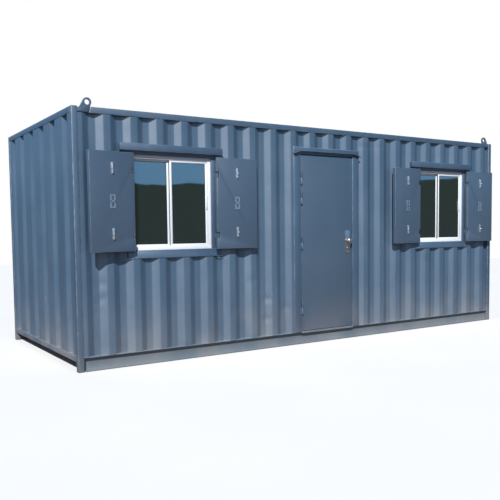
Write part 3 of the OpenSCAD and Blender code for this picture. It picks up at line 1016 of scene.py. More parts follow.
@dataclass(frozen=True)
class Corrugation:
    """A trapezium wave, with its bends rounded."""

    crest: float
    slope: float
    trough: float
    depth: float
    phase: float
    bend: float = 0.007

    @property
    def pitch(self) -> float:
        """The distance from one crest to the next."""
        return self.crest + 2 * self.slope + self.trough

    def sharp(self, x: float) -> float:
        """Gives the depth behind the crests with sharp bends.

        Args:
            x: The place across the wave.

        Returns:
            The depth.
        """
        u = (x - self.phase) % self.pitch
        if u < self.crest:
            return 0.0
        if u < self.crest + self.slope:
            return self.depth * (u - self.crest) / self.slope
        if u < self.crest + self.slope + self.trough:
            return self.depth
        return self.depth * (self.pitch - u) / self.slope

    def round(self, x: float) -> float:
        """Gives the depth behind the crests with rounded bends.

        Args:
            x: The place across the wave.

        Returns:
            The mean depth over the width of a bend.
        """
        samples = 8
        total = sum(self.sharp(x + self.bend * (2 * (i + 0.5) / samples - 1)) for i in range(samples))
        return total / samples

    def stations(self, start: float, end: float, step: float) -> list[float]:
        """Places lines across the wave, close together at the bends.

        Args:
            start: The first line.
            end: The last line.
            step: The widest gap between two lines.

        Returns:
            The place of each line.
        """
        marks = [start, end]
        folds = (0.0, self.crest, self.crest + self.slope, self.crest + self.slope + self.trough)
        first = math.floor((start - self.phase) / self.pitch)
        last = math.ceil((end - self.phase) / self.pitch)
        for k in range(first, last + 1):
            for fold in folds:
                middle = self.phase + k * self.pitch + fold
                marks += [middle + self.bend * part for part in (-1.0, -0.4, 0.4, 1.0)]
        kept: list[float] = []
        for x in sorted(m for m in marks if start <= m <= end):
            if kept and x - kept[-1] < 0.0015 and x < end:
                continue
            while kept and x - kept[-1] > step * 1.4:
                kept.append(kept[-1] + step)
            kept.append(x)
        return kept


@dataclass
class Walls:
    """The corrugated sheets of all four sides and the roof."""

    finishes: Finishes
    thick: float = 0.002
    long_wave: tuple[float, float, float, float] = (0.072, 0.068, 0.070, 0.036)
    long_phase: float = 0.033
    end_wave: tuple[float, float, float, float] = (0.229, 0.050, 0.068, 0.036)
    end_bead: float = 0.0038
    roof_pitch: float = 0.209
    sheet_setback: float = 0.004
    fine: float = 0.026
    middling: float = 0.06
    coarse: float = 0.12
    seam: float = 0.2
    held: float = 0.08
    dents: tuple[Dent, ...] = (
        Dent(2.200, 0.560, 0.050, 0.035, 0.009),
        Dent(2.197, 0.333, 0.045, 0.030, 0.008),
        Dent(2.449, 0.439, 0.040, 0.045, 0.007),
        Dent(0.267, 0.836, 0.035, 0.040, 0.006),
        Dent(0.263, 0.691, 0.030, 0.035, 0.006),
        Dent(3.720, 2.350, 0.150, 0.030, 0.005),
        Dent(4.240, 0.640, 0.050, 0.120, 0.005),
        Dent(5.660, 0.350, 0.045, 0.080, 0.006),
        Dent(2.010, 0.780, 0.060, 0.050, 0.006),
        Dent(1.760, 0.470, 0.040, 0.040, 0.005),
        Dent(4.800, 0.900, 0.060, 0.050, 0.004),
    )

    def __post_init__(self) -> None:
        """Takes the cabin's outer corner from the posts."""
        posts = node_box("corner_posts")
        self.left = posts.low.x
        self.right = posts.high.x
        self.front = posts.low.y
        self.rear = posts.high.y

    def build(self) -> None:
        """Builds every sheet and the welds at its foot."""
        self.build_front()
        self.build_rear()
        self.build_ends()
        self.build_roof()

    def long_sheet(self) -> Corrugation:
        """The wave of the front and rear walls."""
        return Corrugation(*self.long_wave, self.left + self.long_phase)

    def build_front(self) -> None:
        """The front wall's strips and infills, with their dents."""
        for node, piece in (("front_wall", "front_wall"), ("front_wall_infills", "front_wall_infill")):
            form = Form()
            for box in solid_boxes(node):
                self.fill(form, box, self.long_sheet(), self.fine)
            form.done(piece + "_sheets", self.finishes.sheet, "cabin", self.finishes, replaces=[node])
        self.build_foot_weld(solid_boxes("front_wall"), self.long_sheet(), "front_wall_foot_weld")

    def press(self, x: float, y: float, z: float) -> float:
        """All dents of the front wall, with the sheet's slight unevenness."""
        ripple = 0.0012 * noise.noise(Vector((x * 3.1, 0.0, z * 2.3)))
        return max(0.0, ripple) + sum(dent.at(x - self.left, z) for dent in self.dents)

    def fill(self, form: Form, box: Box, wave: Corrugation, step: float) -> None:
        """Fills a box of the front wall with sheet.

        Args:
            form: The form that takes the sheet.
            box: The box.
            wave: The sheet's wave.
            step: The widest gap between two of its lines.
        """
        base = box.low.y if box.size.y > wave.depth else self.front + self.sheet_setback
        columns = [(x, base + wave.round(x)) for x in wave.stations(box.low.x, box.high.x, step)]
        count = max(2, math.ceil(box.size.z / step))
        rows = [box.low.z + box.size.z * i / count for i in range(count + 1)]
        form.sheet(columns, rows, self.edge_press(box), self.thick)

    def edge_press(self, box: Box) -> Callable[[float, float, float], float]:
        """Gives the dents of one sheet, which fade out at its welded top and foot.

        Args:
            box: The sheet's box.

        Returns:
            The dent at an x, y and z.
        """

        def pressed(x: float, y: float, z: float) -> float:
            """The dent at a point."""
            hold = min(1.0, (z - box.low.z) / self.held, (box.high.z - z) / self.held)
            return self.press(x, y, z) * hold

        return pressed

    def build_foot_weld(self, boxes: Sequence[Box], wave: Corrugation, name: str) -> None:
        """Lays weld beads along the foot of the front sheets.

        Args:
            boxes: The boxes of the sheets.
            wave: Their wave.
            name: The piece's name.
        """
        form = Form()
        face = self.front + self.sheet_setback
        for box in boxes:
            xs = wave.stations(box.low.x, box.high.x, self.seam)
            line = [Vector((x, face + wave.round(x) - 0.001, box.low.z + 0.001)) for x in xs]
            form.bead(line, 0.0034, 0.011)
        form.done(name, self.finishes.weld, "cabin", self.finishes)

    def build_rear(self) -> None:
        """The plain rear wall, drawn as a front wall and turned round."""
        box = node_box("rear_wall")
        wave = self.long_sheet()
        xs = wave.stations(box.low.x, box.high.x, self.middling)
        columns = [(x, box.low.y + wave.depth - wave.round(x)) for x in xs]
        count = math.ceil(box.size.z / self.coarse)
        rows = [box.low.z + box.size.z * i / count for i in range(count + 1)]
        form = Form()
        form.sheet(columns, rows, self.flat, self.thick)
        form.done("rear_wall_sheet", self.finishes.sheet, "cabin", self.finishes, replaces=["rear_wall"])

    @staticmethod
    def flat(x: float, y: float, z: float) -> float:
        """No dent."""
        return 0.0

    def build_ends(self) -> None:
        """The end walls, with ribs pressed inwards, and the welds on the rails below."""
        middle = (self.front + self.rear) / 2
        crest, slope, trough, depth = self.end_wave
        pitch = crest + 2 * slope + trough
        form = Form()
        for node, side in (("left_end_wall", -1), ("right_end_wall", 1)):
            box = node_box(node)
            ribs = round((box.size.y - trough) / pitch)
            first = middle - (ribs - 1) * pitch / 2 - slope - trough / 2
            wave = Corrugation(crest, slope, trough, depth, first - crest)
            self.build_end(box, side, wave, node)
            outer = box.low.x if side < 0 else box.high.x
            line = [
                Vector((outer - side * (wave.round(y) + 0.002), y, box.low.z + 0.001))
                for y in wave.stations(box.low.y, box.high.y, self.seam)
            ]
            form.bead(line, self.end_bead, 0.012)
        form.done("end_wall_foot_welds", self.finishes.weld, "cabin", self.finishes)

    def build_end(self, box: Box, side: int, wave: Corrugation, node: str) -> None:
        """Builds one end wall, drawn along X and turned to its place.

        Args:
            box: The wall's box.
            side: -1 for the left end and 1 for the right end.
            wave: The wall's wave.
            node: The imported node.
        """
        columns = [(y, wave.round(y)) for y in wave.stations(box.low.y, box.high.y, 0.04)]
        count = math.ceil(box.size.z / self.middling)
        rows = [box.low.z + box.size.z * i / count for i in range(count + 1)]
        outer = box.low.x if side < 0 else box.high.x

        def uneven(x: float, y: float, z: float) -> float:
            """Slight waves in the wide flats."""
            hold = min(1.0, (z - box.low.z) / 0.1, (box.high.z - z) / 0.1)
            return 0.003 * hold * max(0.0, noise.noise(Vector((x * 2.2, side * 3.0, z * 1.7))))

        form = Form()
        form.sheet(columns, rows, uneven, self.thick)
        turn = Matrix(((0, -side, 0, outer), (1, 0, 0, 0), (0, 0, 1, 0), (0, 0, 0, 1)))
        form.done(node + "_sheet", self.finishes.sheet, "cabin", self.finishes, turn, [node])

    def build_roof(self) -> None:
        """The roof sheet, with ribs across the cabin."""
        box = node_box("roof_sheet")
        rib = self.roof_pitch / 4
        depth = box.size.z - self.thick
        wave = Corrugation(rib, rib, rib, depth, box.low.x)
        columns = [(x, wave.round(x)) for x in wave.stations(box.low.x, box.high.x, self.middling)]
        count = 8
        rows = [box.low.y + box.size.y * i / count for i in range(count + 1)]
        form = Form()
        form.sheet(columns, rows, self.flat, self.thick)
        turn = Matrix(((1, 0, 0, 0), (0, 0, 1, 0), (0, -1, 0, box.high.z), (0, 0, 0, 1)))
        form.done("roof_sheet_ribs", self.finishes.sheet, "cabin", self.finishes, turn, ["roof_sheet"])


# ---- door -----------------------------------------------------------------------------------


@dataclass(frozen=True)
class Hinge:
    """A welded lift-off hinge: a fixed lower knuckle with its pin, and a moving upper one."""

    radius: float = 0.008
    pin: float = 0.005
    clear: float = 0.00005
    gap: float = 0.001

    def lower(self, form: Form, base: Vector, height: float) -> None:
        """Adds the fixed knuckle and its pin, with a rounded foot.

        Args:
            form: The form that takes them.
            base: The foot of the hinge on its axis.
            height: Height of the whole hinge.
        """
        half = height / 2 - self.gap
        r = self.radius
        form.turned([(0, 0), (r * 0.75, 0), (r, 0.002), (r, half - 0.001), (r * 0.93, half), (self.pin, half),
                     (self.pin, height - 0.006), (self.pin * 0.7, height - 0.004), (0, height - 0.004)],
                    base, Vector((0, 0, 1)), 24)

    def upper(self, form: Form, base: Vector, height: float) -> None:
        """Adds the moving knuckle, with a domed cap.

        Args:
            form: The form that takes it.
            base: The foot of the hinge on its axis.
            height: Height of the whole hinge.
        """
        half = height / 2
        r = self.radius
        bore = self.pin + self.clear
        form.turned([(0, height - 0.003), (bore, height - 0.003), (bore, half), (r * 0.93, half),
                     (r, half + 0.001), (r, height - 0.003), (r * 0.7, height - 0.0006), (0, height)],
                    base, Vector((0, 0, 1)), 24)


@dataclass
class Door:
    """The door's frame, hood, threshold, leaf, handle and hinges."""

    finishes: Finishes
    leaf_radius: float = 0.0025
    frame_radius: float = 0.003
    hood_radius: float = 0.0012
    knob_rise: float = 0.157
    lock_drop: float = 0.090
    screw_inset: float = 0.024

    def build(self) -> None:
        """Builds the door from its frame inwards."""
        self.leaf = node_box("door_leaf")
        self.jambs = solid_boxes("door_jambs")
        self.build_frame()
        self.build_hood()
        self.build_threshold()
        self.build_leaf()
        self.build_handle()
        self.build_hinges()

    def build_frame(self) -> None:
        """Jambs, head and the weld beads that join them to the sheet."""
        for node, name in (("door_jambs", "door_jamb_steel"), ("door_head", "door_head_steel")):
            form = Form()
            form.copy_node(node, self.frame_radius)
            form.done(name, self.finishes.frame, "cabin", self.finishes, replaces=[node])
        form = Form()
        face = self.jambs[0].low.y + 0.006
        foot, top = self.jambs[0].low.z, node_box("door_head").high.z
        for x in (self.jambs[0].low.x - 0.001, self.jambs[-1].high.x + 0.001):
            form.bead([Vector((x, face, foot)), Vector((x, face, top))], 0.003, 0.012)
        left, right = self.jambs[0].low.x, self.jambs[-1].high.x
        form.bead([Vector((left, face, top + 0.001)), Vector((right, face, top + 0.001))], 0.003, 0.012)
        form.done("door_frame_welds", self.finishes.weld, "cabin", self.finishes)

    def build_hood(self) -> None:
        """The rain hood with its edges rounded."""
        form = Form()
        form.copy_node("door_hood", self.hood_radius)
        form.done("door_hood_strip", self.finishes.frame, "cabin", self.finishes, replaces=["door_hood"])

    def build_threshold(self) -> None:
        """The aluminium threshold, with grooves along its top."""
        box = node_box("door_threshold")
        form = Form()
        top = box.high.z
        start, end = box.low.y + 0.004, self.leaf.high.y + 0.01
        grooves, screws, thick, lip = 9, 5, 0.008, 0.006
        step = (end - start) / grooves
        outline = [(box.low.y, box.low.z), (box.low.y, top - 0.001), (start, top)]
        for k in range(grooves):
            y = start + k * step
            outline += [(y + step * 0.5, top), (y + step * 0.6, top - 0.002), (y + step * 0.9, top - 0.002)]
        outline += [(end, top), (box.high.y, top), (box.high.y, top - thick)]
        outline += [(box.low.y + lip, top - thick), (box.low.y + lip, box.low.z)]
        form.prism(outline, Axis.X, box.low.x, box.high.x, 0.0004, 1)
        for k in range(screws):
            x = box.low.x + box.size.x * (k + 0.5) / screws
            form.screw(Vector((x, box.low.y, box.low.z + 0.007)), Vector((0, -1, 0)), 0.0035)
        form.done("door_threshold_strip", self.finishes.mill, "cabin", self.finishes,
                  replaces=["door_threshold"])

    def build_leaf(self) -> None:
        """The folded steel leaf, with a rubber seal down both edges of its back."""
        form = Form()
        form.block(self.leaf.low, self.leaf.high, self.leaf_radius, 3)
        form.done("door_leaf_panel", self.finishes.door, "door", self.finishes, replaces=["door_leaf"])
        form = Form()
        for x in (self.leaf.low.x + 0.0005, self.leaf.high.x - 0.0005):
            form.block((x - 0.002, self.leaf.high.y - 0.004, self.leaf.low.z + 0.02),
                       (x + 0.002, self.leaf.high.y + 0.001, self.leaf.high.z - 0.02), 0.0008, 1)
        form.done("door_leaf_seal", self.finishes.rubber, "door", self.finishes)

    def build_handle(self) -> None:
        """The long plate with rounded ends, the knob on its neck and the lock's cylinder."""
        box = node_box("door_handle")
        face = self.leaf.low.y
        centre = box.centre.x
        half = box.size.x / 2
        crown = half * 0.92 * 0.6
        steps = 12
        outline: list[Point2] = []
        for sign, level in ((1, box.high.z - crown), (-1, box.low.z + crown)):
            for k in range(steps + 1):
                angle = math.pi * k / steps
                dx = half * math.cos(angle) * sign
                dz = crown * math.sin(angle) * sign
                outline.append((centre + dx, level + dz))
        form = Form()
        form.prism(outline, Axis.Y, face - 0.004, face, 0.0012, 2)
        inset = [(centre + (x - centre) * 0.82, box.centre.z + (z - box.centre.z) * 0.95) for x, z in outline]
        form.prism(inset, Axis.Y, face - 0.0055, face - 0.0035, 0.0006, 2)
        out = Vector((0, -1, 0))
        for z in (box.high.z - self.screw_inset, box.low.z + self.screw_inset):
            form.screw(Vector((centre, face - 0.0055, z)), out, 0.0042)
        knob = box.low.z + self.knob_rise
        lock = knob - self.lock_drop
        profile = [(0.0, 0.003), (0.020, 0.003), (0.020, 0.007), (0.0135, 0.010), (0.012, 0.022),
                   (0.015, 0.028), (0.026, 0.031), (0.0335, 0.037), (0.0365, 0.044), (0.0365, 0.050),
                   (0.034, 0.056), (0.028, 0.0605), (0.018, 0.0632), (0.0, 0.064)]
        form.turned(profile, Vector((centre, face, knob)), out, 40)
        form.turned([(0.0, 0.004), (0.0165, 0.004), (0.0165, 0.0085), (0.015, 0.0095), (0.0, 0.0095)],
                    Vector((centre, face, lock)), out, 28)
        form.done("door_handle_set", self.finishes.steel, "door", self.finishes, replaces=["door_handle"])
        # A thin black strip on the cylinder's face is painted shade for the key slot, which is not cut as a
        # hole.
        form = Form()
        form.block((centre - 0.0012, face - 0.0102, lock - 0.008),
                   (centre + 0.0012, face - 0.0094, lock + 0.008), 0.0003, 1)
        form.done("door_keyway", self.finishes.rubber, "door", self.finishes)

    def build_hinges(self) -> None:
        """Four hinges with welded plates."""
        hinge = Hinge()
        fixed, moving = Form(), Form()
        moving_boxes = sorted(solid_boxes("door_hinge_knuckles"), key=lambda b: b.low.z)
        joint = next(j for j in frame["joints"] if j["name"] == "door_hinge")
        axis = Vector(joint["pos_m"])
        pins = sorted(solid_boxes("door_hinge_pins"), key=lambda b: b.low.z)
        for pin, knuckle in zip(pins, moving_boxes):
            base = Vector((axis.x, axis.y, pin.low.z))
            height = knuckle.high.z - pin.low.z
            hinge.lower(fixed, base, height)
            hinge.upper(moving, base, height)
            top = pin.low.z + height / 2 - hinge.gap
            fixed.block((pin.low.x, pin.high.y - 0.005, pin.low.z), (axis.x - 0.003, pin.high.y, top),
                        0.001, 1)
            moving.block((axis.x + 0.003, axis.y, knuckle.low.z), knuckle.high, 0.001, 1)
        fixed.done("door_hinge_pin_set", self.finishes.frame, "cabin", self.finishes,
                   replaces=["door_hinge_pins"])
        moving.done("door_hinge_knuckle_set", self.finishes.door, "door", self.finishes,
                    replaces=["door_hinge_knuckles"])


# ---- windows -----------------------------------------------------------------------------------


@dataclass
class Windows:
    """Both windows: steel surrounds, aluminium frames, sashes and glass."""

    finishes: Finishes
    surround_radius: float = 0.0025
    alu_radius: float = 0.0012

    def build(self) -> None:
        """Builds the surrounds and then each window's aluminium."""
        self.build_surrounds()
        self.rails = solid_boxes("window_frame_rails")
        self.stiles = solid_boxes("window_frame_stiles")
        self.sashes = solid_boxes("window_sashes")
        self.panes = solid_boxes("window_glass")
        self.build_frames()
        self.build_sashes()
        self.build_glass()

    def build_surrounds(self) -> None:
        """Heads with rain bars, sills and jambs, with their welds."""
        for node in ("window_heads", "window_sills", "window_jambs"):
            form = Form()
            form.copy_node(node, self.surround_radius)
            form.done(node[:-1] + "_steel", self.finishes.frame, "cabin", self.finishes, replaces=[node])
        form = Form()
        jambs = solid_boxes("window_jambs")
        face = jambs[0].low.y
        for i, jamb in enumerate(jambs):
            outer = jamb.low.x if i % 2 == 0 else jamb.high.x
            start = Vector((outer, face + 0.003, jamb.low.z))
            form.bead([start, Vector((outer, face + 0.003, jamb.high.z))], 0.0026, 0.011)
        for head in solid_boxes("window_heads"):
            self.level_bead(form, head, face + 0.001, head.high.z + 0.001, 0.0028, 0.012)
        for sill in solid_boxes("window_sills"):
            self.level_bead(form, sill, face, sill.low.z - 0.001, 0.0026, 0.011)
        form.done("window_surround_welds", self.finishes.weld, "cabin", self.finishes)

    @staticmethod
    def level_bead(form: Form, box: Box, y: float, z: float, radius: float, pitch: float) -> None:
        """Lays a level weld bead over a box's width.

        Args:
            form: The form that takes the bead.
            box: The box.
            y: The bead's depth.
            z: The bead's height.
            radius: The bead's mean radius.
            pitch: The distance between two ripples.
        """
        inset = 0.004
        form.bead([Vector((box.low.x + inset, y, z)), Vector((box.high.x - inset, y, z))], radius, pitch)

    def build_frames(self) -> None:
        """The outer aluminium frames, each with a lip and a track, and drain slots at the foot."""
        rails, stiles = Form(), Form()
        for rail in self.rails:
            low, high = rail.low, rail.high
            at_foot = rail.centre.z < self.stiles[0].centre.z
            inner, outer = (high.z, low.z) if at_foot else (low.z, high.z)
            rails.prism(self.profile(low.y, high.y, outer, inner), Axis.X, low.x, high.x, self.alu_radius, 2)
            if at_foot:
                for k in (0.3, 0.7):
                    x = low.x + rail.size.x * k
                    rails.block((x - 0.015, low.y - 0.0006, low.z + 0.008),
                                (x + 0.015, low.y + 0.001, low.z + 0.013), 0.0004, 1)
        for i, stile in enumerate(self.stiles):
            low, high = stile.low, stile.high
            outer, inner = (low.x, high.x) if i % 2 == 0 else (high.x, low.x)
            outline = [(x, y) for y, x in self.profile(low.y, high.y, outer, inner)]
            stiles.prism(outline, Axis.Z, low.z, high.z, self.alu_radius, 2)
        rails.done("window_frame_rail_profiles", self.finishes.white, "cabin", self.finishes,
                   replaces=["window_frame_rails"])
        stiles.done("window_frame_stile_profiles", self.finishes.white, "cabin", self.finishes,
                    replaces=["window_frame_stiles"])

    @staticmethod
    def profile(front: float, back: float, outer: float, inner: float) -> list[Point2]:
        """Draws the section of a frame member.

        Args:
            front: Its front face.
            back: Its back face.
            outer: Its outer edge.
            inner: Its inner edge, where the lips end.

        Returns:
            Points of depth and width.
        """
        step = 1 if inner > outer else -1
        track = inner - step * 0.010
        web = inner - step * 0.002
        return [(front, outer), (front, inner), (front + 0.004, inner), (front + 0.0055, track),
                (front + 0.0235, track), (front + 0.0245, web), (front + 0.0265, web),
                (front + 0.0275, track), (back - 0.003, track), (back - 0.002, inner), (back, inner),
                (back, outer)]

    def build_sashes(self) -> None:
        """Sliding sashes with stepped members, rubbers, and a pull and a black brush strip on the outer one,
        whose black is partly painted shade for the gap at that stile.
        """
        form, rubbers = Form(), Form()
        for sash, pane in self.sash_pairs():
            depth = (pane.low.y - 0.005, pane.low.y + 0.010)
            left, right = sash.low.x, sash.high.x
            low, high = sash.low.z, sash.high.z
            for outer, inner in ((low, pane.low.z), (high, pane.high.z)):
                form.prism(self.member(depth, outer, inner), Axis.X, left, right, 0.0009, 2)
            for outer, inner in ((left, pane.low.x), (right, pane.high.x)):
                outline = [(x, y) for y, x in self.member(depth, outer, inner)]
                form.prism(outline, Axis.Z, pane.low.z - 0.001, pane.high.z + 0.001, 0.0009, 2)
            self.rubber_ring(rubbers, pane, depth[0] + 0.0025)
            if sash.low.y < pane.low.y - 0.01:
                self.pull(form, pane.high.x + 0.004, sash.low.y, depth[0], (low + high) / 2 + 0.015)
                # The black brush strip down the outer sash's left edge is partly painted shade: its black
                # stands in for the shaded side of that stile.
                rubbers.block((left - 0.002, depth[0] + 0.003, low + 0.01),
                              (left, depth[1] + 0.004, high - 0.01), 0.0004, 1)
        form.done("window_sash_profiles", self.finishes.white, "cabin", self.finishes,
                  replaces=["window_sashes"])
        rubbers.done("window_glazing_rubbers", self.finishes.rubber, "cabin", self.finishes)

    def sash_pairs(self) -> list[tuple[Box, Box]]:
        """Finds each sash's own pane.

        Returns:
            Each sash with its pane.
        """
        pairs = []
        for sash in self.sashes:
            pane = min(self.panes, key=lambda p: (p.centre - sash.centre).length)
            pairs.append((sash, pane))
        return pairs

    @staticmethod
    def member(depth: tuple[float, float], outer: float, inner: float) -> list[Point2]:
        """Draws the section of a sash member, stepped down to the glass.

        Args:
            depth: Its front and back face.
            outer: Its outer edge.
            inner: Its inner edge.

        Returns:
            Points of depth and width.
        """
        front, back = depth
        step = 0.004 if inner > outer else -0.004
        return [(front, outer), (front, inner - step * 2), (front + 0.002, inner - step),
                (front + 0.003, inner), (back - 0.003, inner), (back - 0.002, inner - step),
                (back, inner - step * 2), (back, outer)]

    @staticmethod
    def rubber_ring(form: Form, pane: Box, front: float) -> None:
        """Lays a thin black rubber round a pane.

        Args:
            form: The form that takes it.
            pane: The pane.
            front: Its front face.
        """
        wide = 0.0045
        low, high = pane.low, pane.high
        foot, top = low.z + wide, high.z - wide
        for x0, x1, z0, z1 in (
            (low.x, high.x, low.z, foot), (low.x, high.x, top, high.z),
            (low.x, low.x + wide, foot, top), (high.x - wide, high.x, foot, top),
        ):
            form.block((x0, front, z0), (x1, front + 0.0022, z1), 0.0006, 1)

    @staticmethod
    def pull(form: Form, left: float, front: float, back: float, middle: float) -> None:
        """Adds the finger pull of a sash.

        Args:
            form: The form that takes it.
            left: Its left edge.
            front: Its front face.
            back: The face that it stands on.
            middle: Its middle height.
        """
        base, grip = 0.074, 0.070
        form.block((left, front + 0.006, middle - base), (left + 0.018, back + 0.001, middle + base),
                   0.002, 2)
        form.block((left, front, middle - grip), (left + 0.005, front + 0.008, middle + grip), 0.0015, 2)

    def build_glass(self) -> None:
        """The panes, with ground edges."""
        form = Form()
        for pane in self.panes:
            form.block(pane.low, pane.high, 0.0005, 1)
        form.done("window_panes", self.finishes.glass, "cabin", self.finishes, replaces=["window_glass"])


# ---- shutters -----------------------------------------------------------------------------------


@dataclass
class Shutter:
    """One steel shutter leaf with its hinges, bolts and finger pull."""

    finishes: Finishes
    name: str
    side: Side
    red_dot: bool = False
    edge: float = 0.0028
    hinge_height: float = 0.110
    notch: float = 0.012
    margin: float = 0.004
    bolt_height: float = 0.112
    pull_rise: float = 0.300

    def build(self) -> None:
        """Builds the leaf in its own place and turns it to its angle."""
        joint = next(j for j in frame["joints"] if j["child"] == self.name + "_leaf")
        low, high = (math.radians(a) for a in joint["range_deg"])
        rest = -low if self.side is Side.LEFT else high
        axis = Vector(joint["pos_m"])
        flip = Matrix.Scale(-1.0 if self.side is Side.LEFT else 1.0, 4, Vector((1, 0, 0)))
        self.move = Matrix.Translation((axis.x, axis.y, 0.0)) @ flip @ Matrix.Rotation(-rest, 4, "Z")
        back = self.move.inverted()
        self.leaf = box_of([back @ v.co for v in frame["nodes"][self.name + "_shutter"].data.vertices])
        self.fittings = box_of([back @ v.co for v in frame["nodes"][self.name + "_bolts"].data.vertices])
        self.pins = self.hinge_levels()
        self.build_leaf()
        self.build_bolts()

    def hinge_levels(self) -> list[float]:
        """The foot of each hinge, from the fixed pins."""
        return sorted({round(box.low.z, 4) for box in solid_boxes("shutter_hinge_pins")})

    def build_leaf(self) -> None:
        """The leaf, notched for the fixed half of each hinge, with the moving halves in it."""
        low, high = self.leaf.low, self.leaf.high
        half = self.hinge_height / 2
        outline: list[Point2] = [(low.x, low.z)]
        for level in self.pins:
            bottom, top = level - self.margin, level + half + self.margin
            outline += [(low.x, bottom), (self.notch, bottom), (self.notch, top), (low.x, top)]
        outline += [(low.x, high.z), (high.x, high.z), (high.x, low.z)]
        form = Form()
        form.prism(outline, Axis.Y, low.y, high.y, self.edge, 3)
        hinge = Hinge()
        for level in self.pins:
            hinge.upper(form, Vector((0, 0, level)), self.hinge_height)
            form.block((0.004, -0.003, level + half), (self.notch + 0.002, 0.003, level + half + 0.005),
                       0.0008, 1)
        form.done(self.name + "_shutter_leaf", self.finishes.door, self.name + "_leaf", self.finishes,
                  self.move, [self.name + "_shutter"])

    def build_bolts(self) -> None:
        """Two tower bolts and the slotted finger pull on the leaf's inner face."""
        face = self.leaf.low.y
        middle = self.fittings.centre.x
        low, high = self.fittings.low.z, self.fittings.high.z
        form = Form()
        for foot in (low, high - self.bolt_height):
            self.tower_bolt(form, Vector((middle, face, foot)))
        self.finger_pull(form, Vector((middle, face, low + self.pull_rise)))
        form.done(self.name + "_bolt_set", self.finishes.zinc, self.name + "_leaf", self.finishes,
                  self.move, [self.name + "_bolts"])
        if self.red_dot:
            dot = Form()
            dot.turned([(0, 0), (0.007, 0), (0.007, 0.0015), (0.0045, 0.003), (0, 0.0034)],
                       Vector((middle, face - 0.003, high - 0.004)), Vector((0, -1, 0)), 20)
            dot.done(self.name + "_bolt_dot", self.finishes.red, self.name + "_leaf", self.finishes,
                     self.move)

    def tower_bolt(self, form: Form, foot: Vector) -> None:
        """Adds a plate with six screws, two keepers and a rod with its knob.

        Args:
            form: The form that takes them.
            foot: The middle of the plate's foot, on the leaf.
        """
        x, y, z = foot
        half, thick, keeper, height, arc = 0.014, 0.003, 0.0105, 0.0068, 8
        middle = z + self.bolt_height / 2
        axle = y - 0.009
        form.block((x - half, y - thick, z), (x + half, y, z + self.bolt_height), 0.0012, 2)
        for dx in (-keeper, keeper):
            for level in (z + 0.006, middle, z + self.bolt_height - 0.006):
                form.screw(Vector((x + dx, y - thick, level)), Vector((0, -1, 0)), 0.0026)
        form.turned([(0, 0), (0.0045, 0), (0.0055, 0.001), (0.0055, 0.102), (0.0045, 0.103), (0, 0.103)],
                    Vector((x, axle, z + 0.004)), Vector((0, 0, 1)), 18)
        for level in (z + 0.010, z + 0.086):
            arch = [(x - keeper, y - 0.002), (x - keeper, axle)]
            for k in range(1, arc):
                angle = math.pi * k / arc
                arch.append((x - keeper * math.cos(angle), axle - height * math.sin(angle)))
            arch += [(x + keeper, axle), (x + keeper, y - 0.002)]
            form.prism(arch, Axis.Z, level, level + 0.016, 0.0007, 1)
        knob = [(0, 0), (0.003, 0), (0.003, 0.009), (0.0052, 0.011), (0.0055, 0.014), (0.003, 0.016),
                (0, 0.016)]
        form.turned(knob, Vector((x, axle, middle)), Vector((0.75, -0.66, 0)).normalized(), 16)

    @staticmethod
    def finger_pull(form: Form, foot: Vector) -> None:
        """Adds a plate with two slots, made of its bars.

        Args:
            form: The form that takes it.
            foot: The middle of the plate's foot, on the leaf.
        """
        x, y, z = foot
        wide, tall, slot = 0.029, 0.132, 0.015
        for x0, x1, z0, z1 in (
            (-wide, wide, 0.0, 0.018), (-wide, wide, 0.056, 0.076), (-wide, wide, 0.114, tall),
            (-wide, -slot, 0.016, 0.116), (slot, wide, 0.016, 0.116),
        ):
            form.block((x + x0, y - 0.004, z + z0), (x + x1, y, z + z1), 0.0009, 1)


# ---- room ---------------------------------------------------------------------------------------


@dataclass
class Room:
    """The deck, lining and ceiling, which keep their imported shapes."""

    finishes: Finishes

    def dress(self) -> None:
        """Gives each board its finish."""
        for node, material in (
            ("floor_deck", self.finishes.deck), ("front_lining", self.finishes.lining),
            ("rear_lining", self.finishes.lining), ("end_linings", self.finishes.lining),
            ("ceiling", self.finishes.ceiling), ("shutter_hinge_pins", self.finishes.frame),
        ):
            data = frame["nodes"][node].data
            data.materials.clear()
            data.materials.append(material)
            LOG.info("%s: dressed", node)


# ---- studio -------------------------------------------------------------------------------------


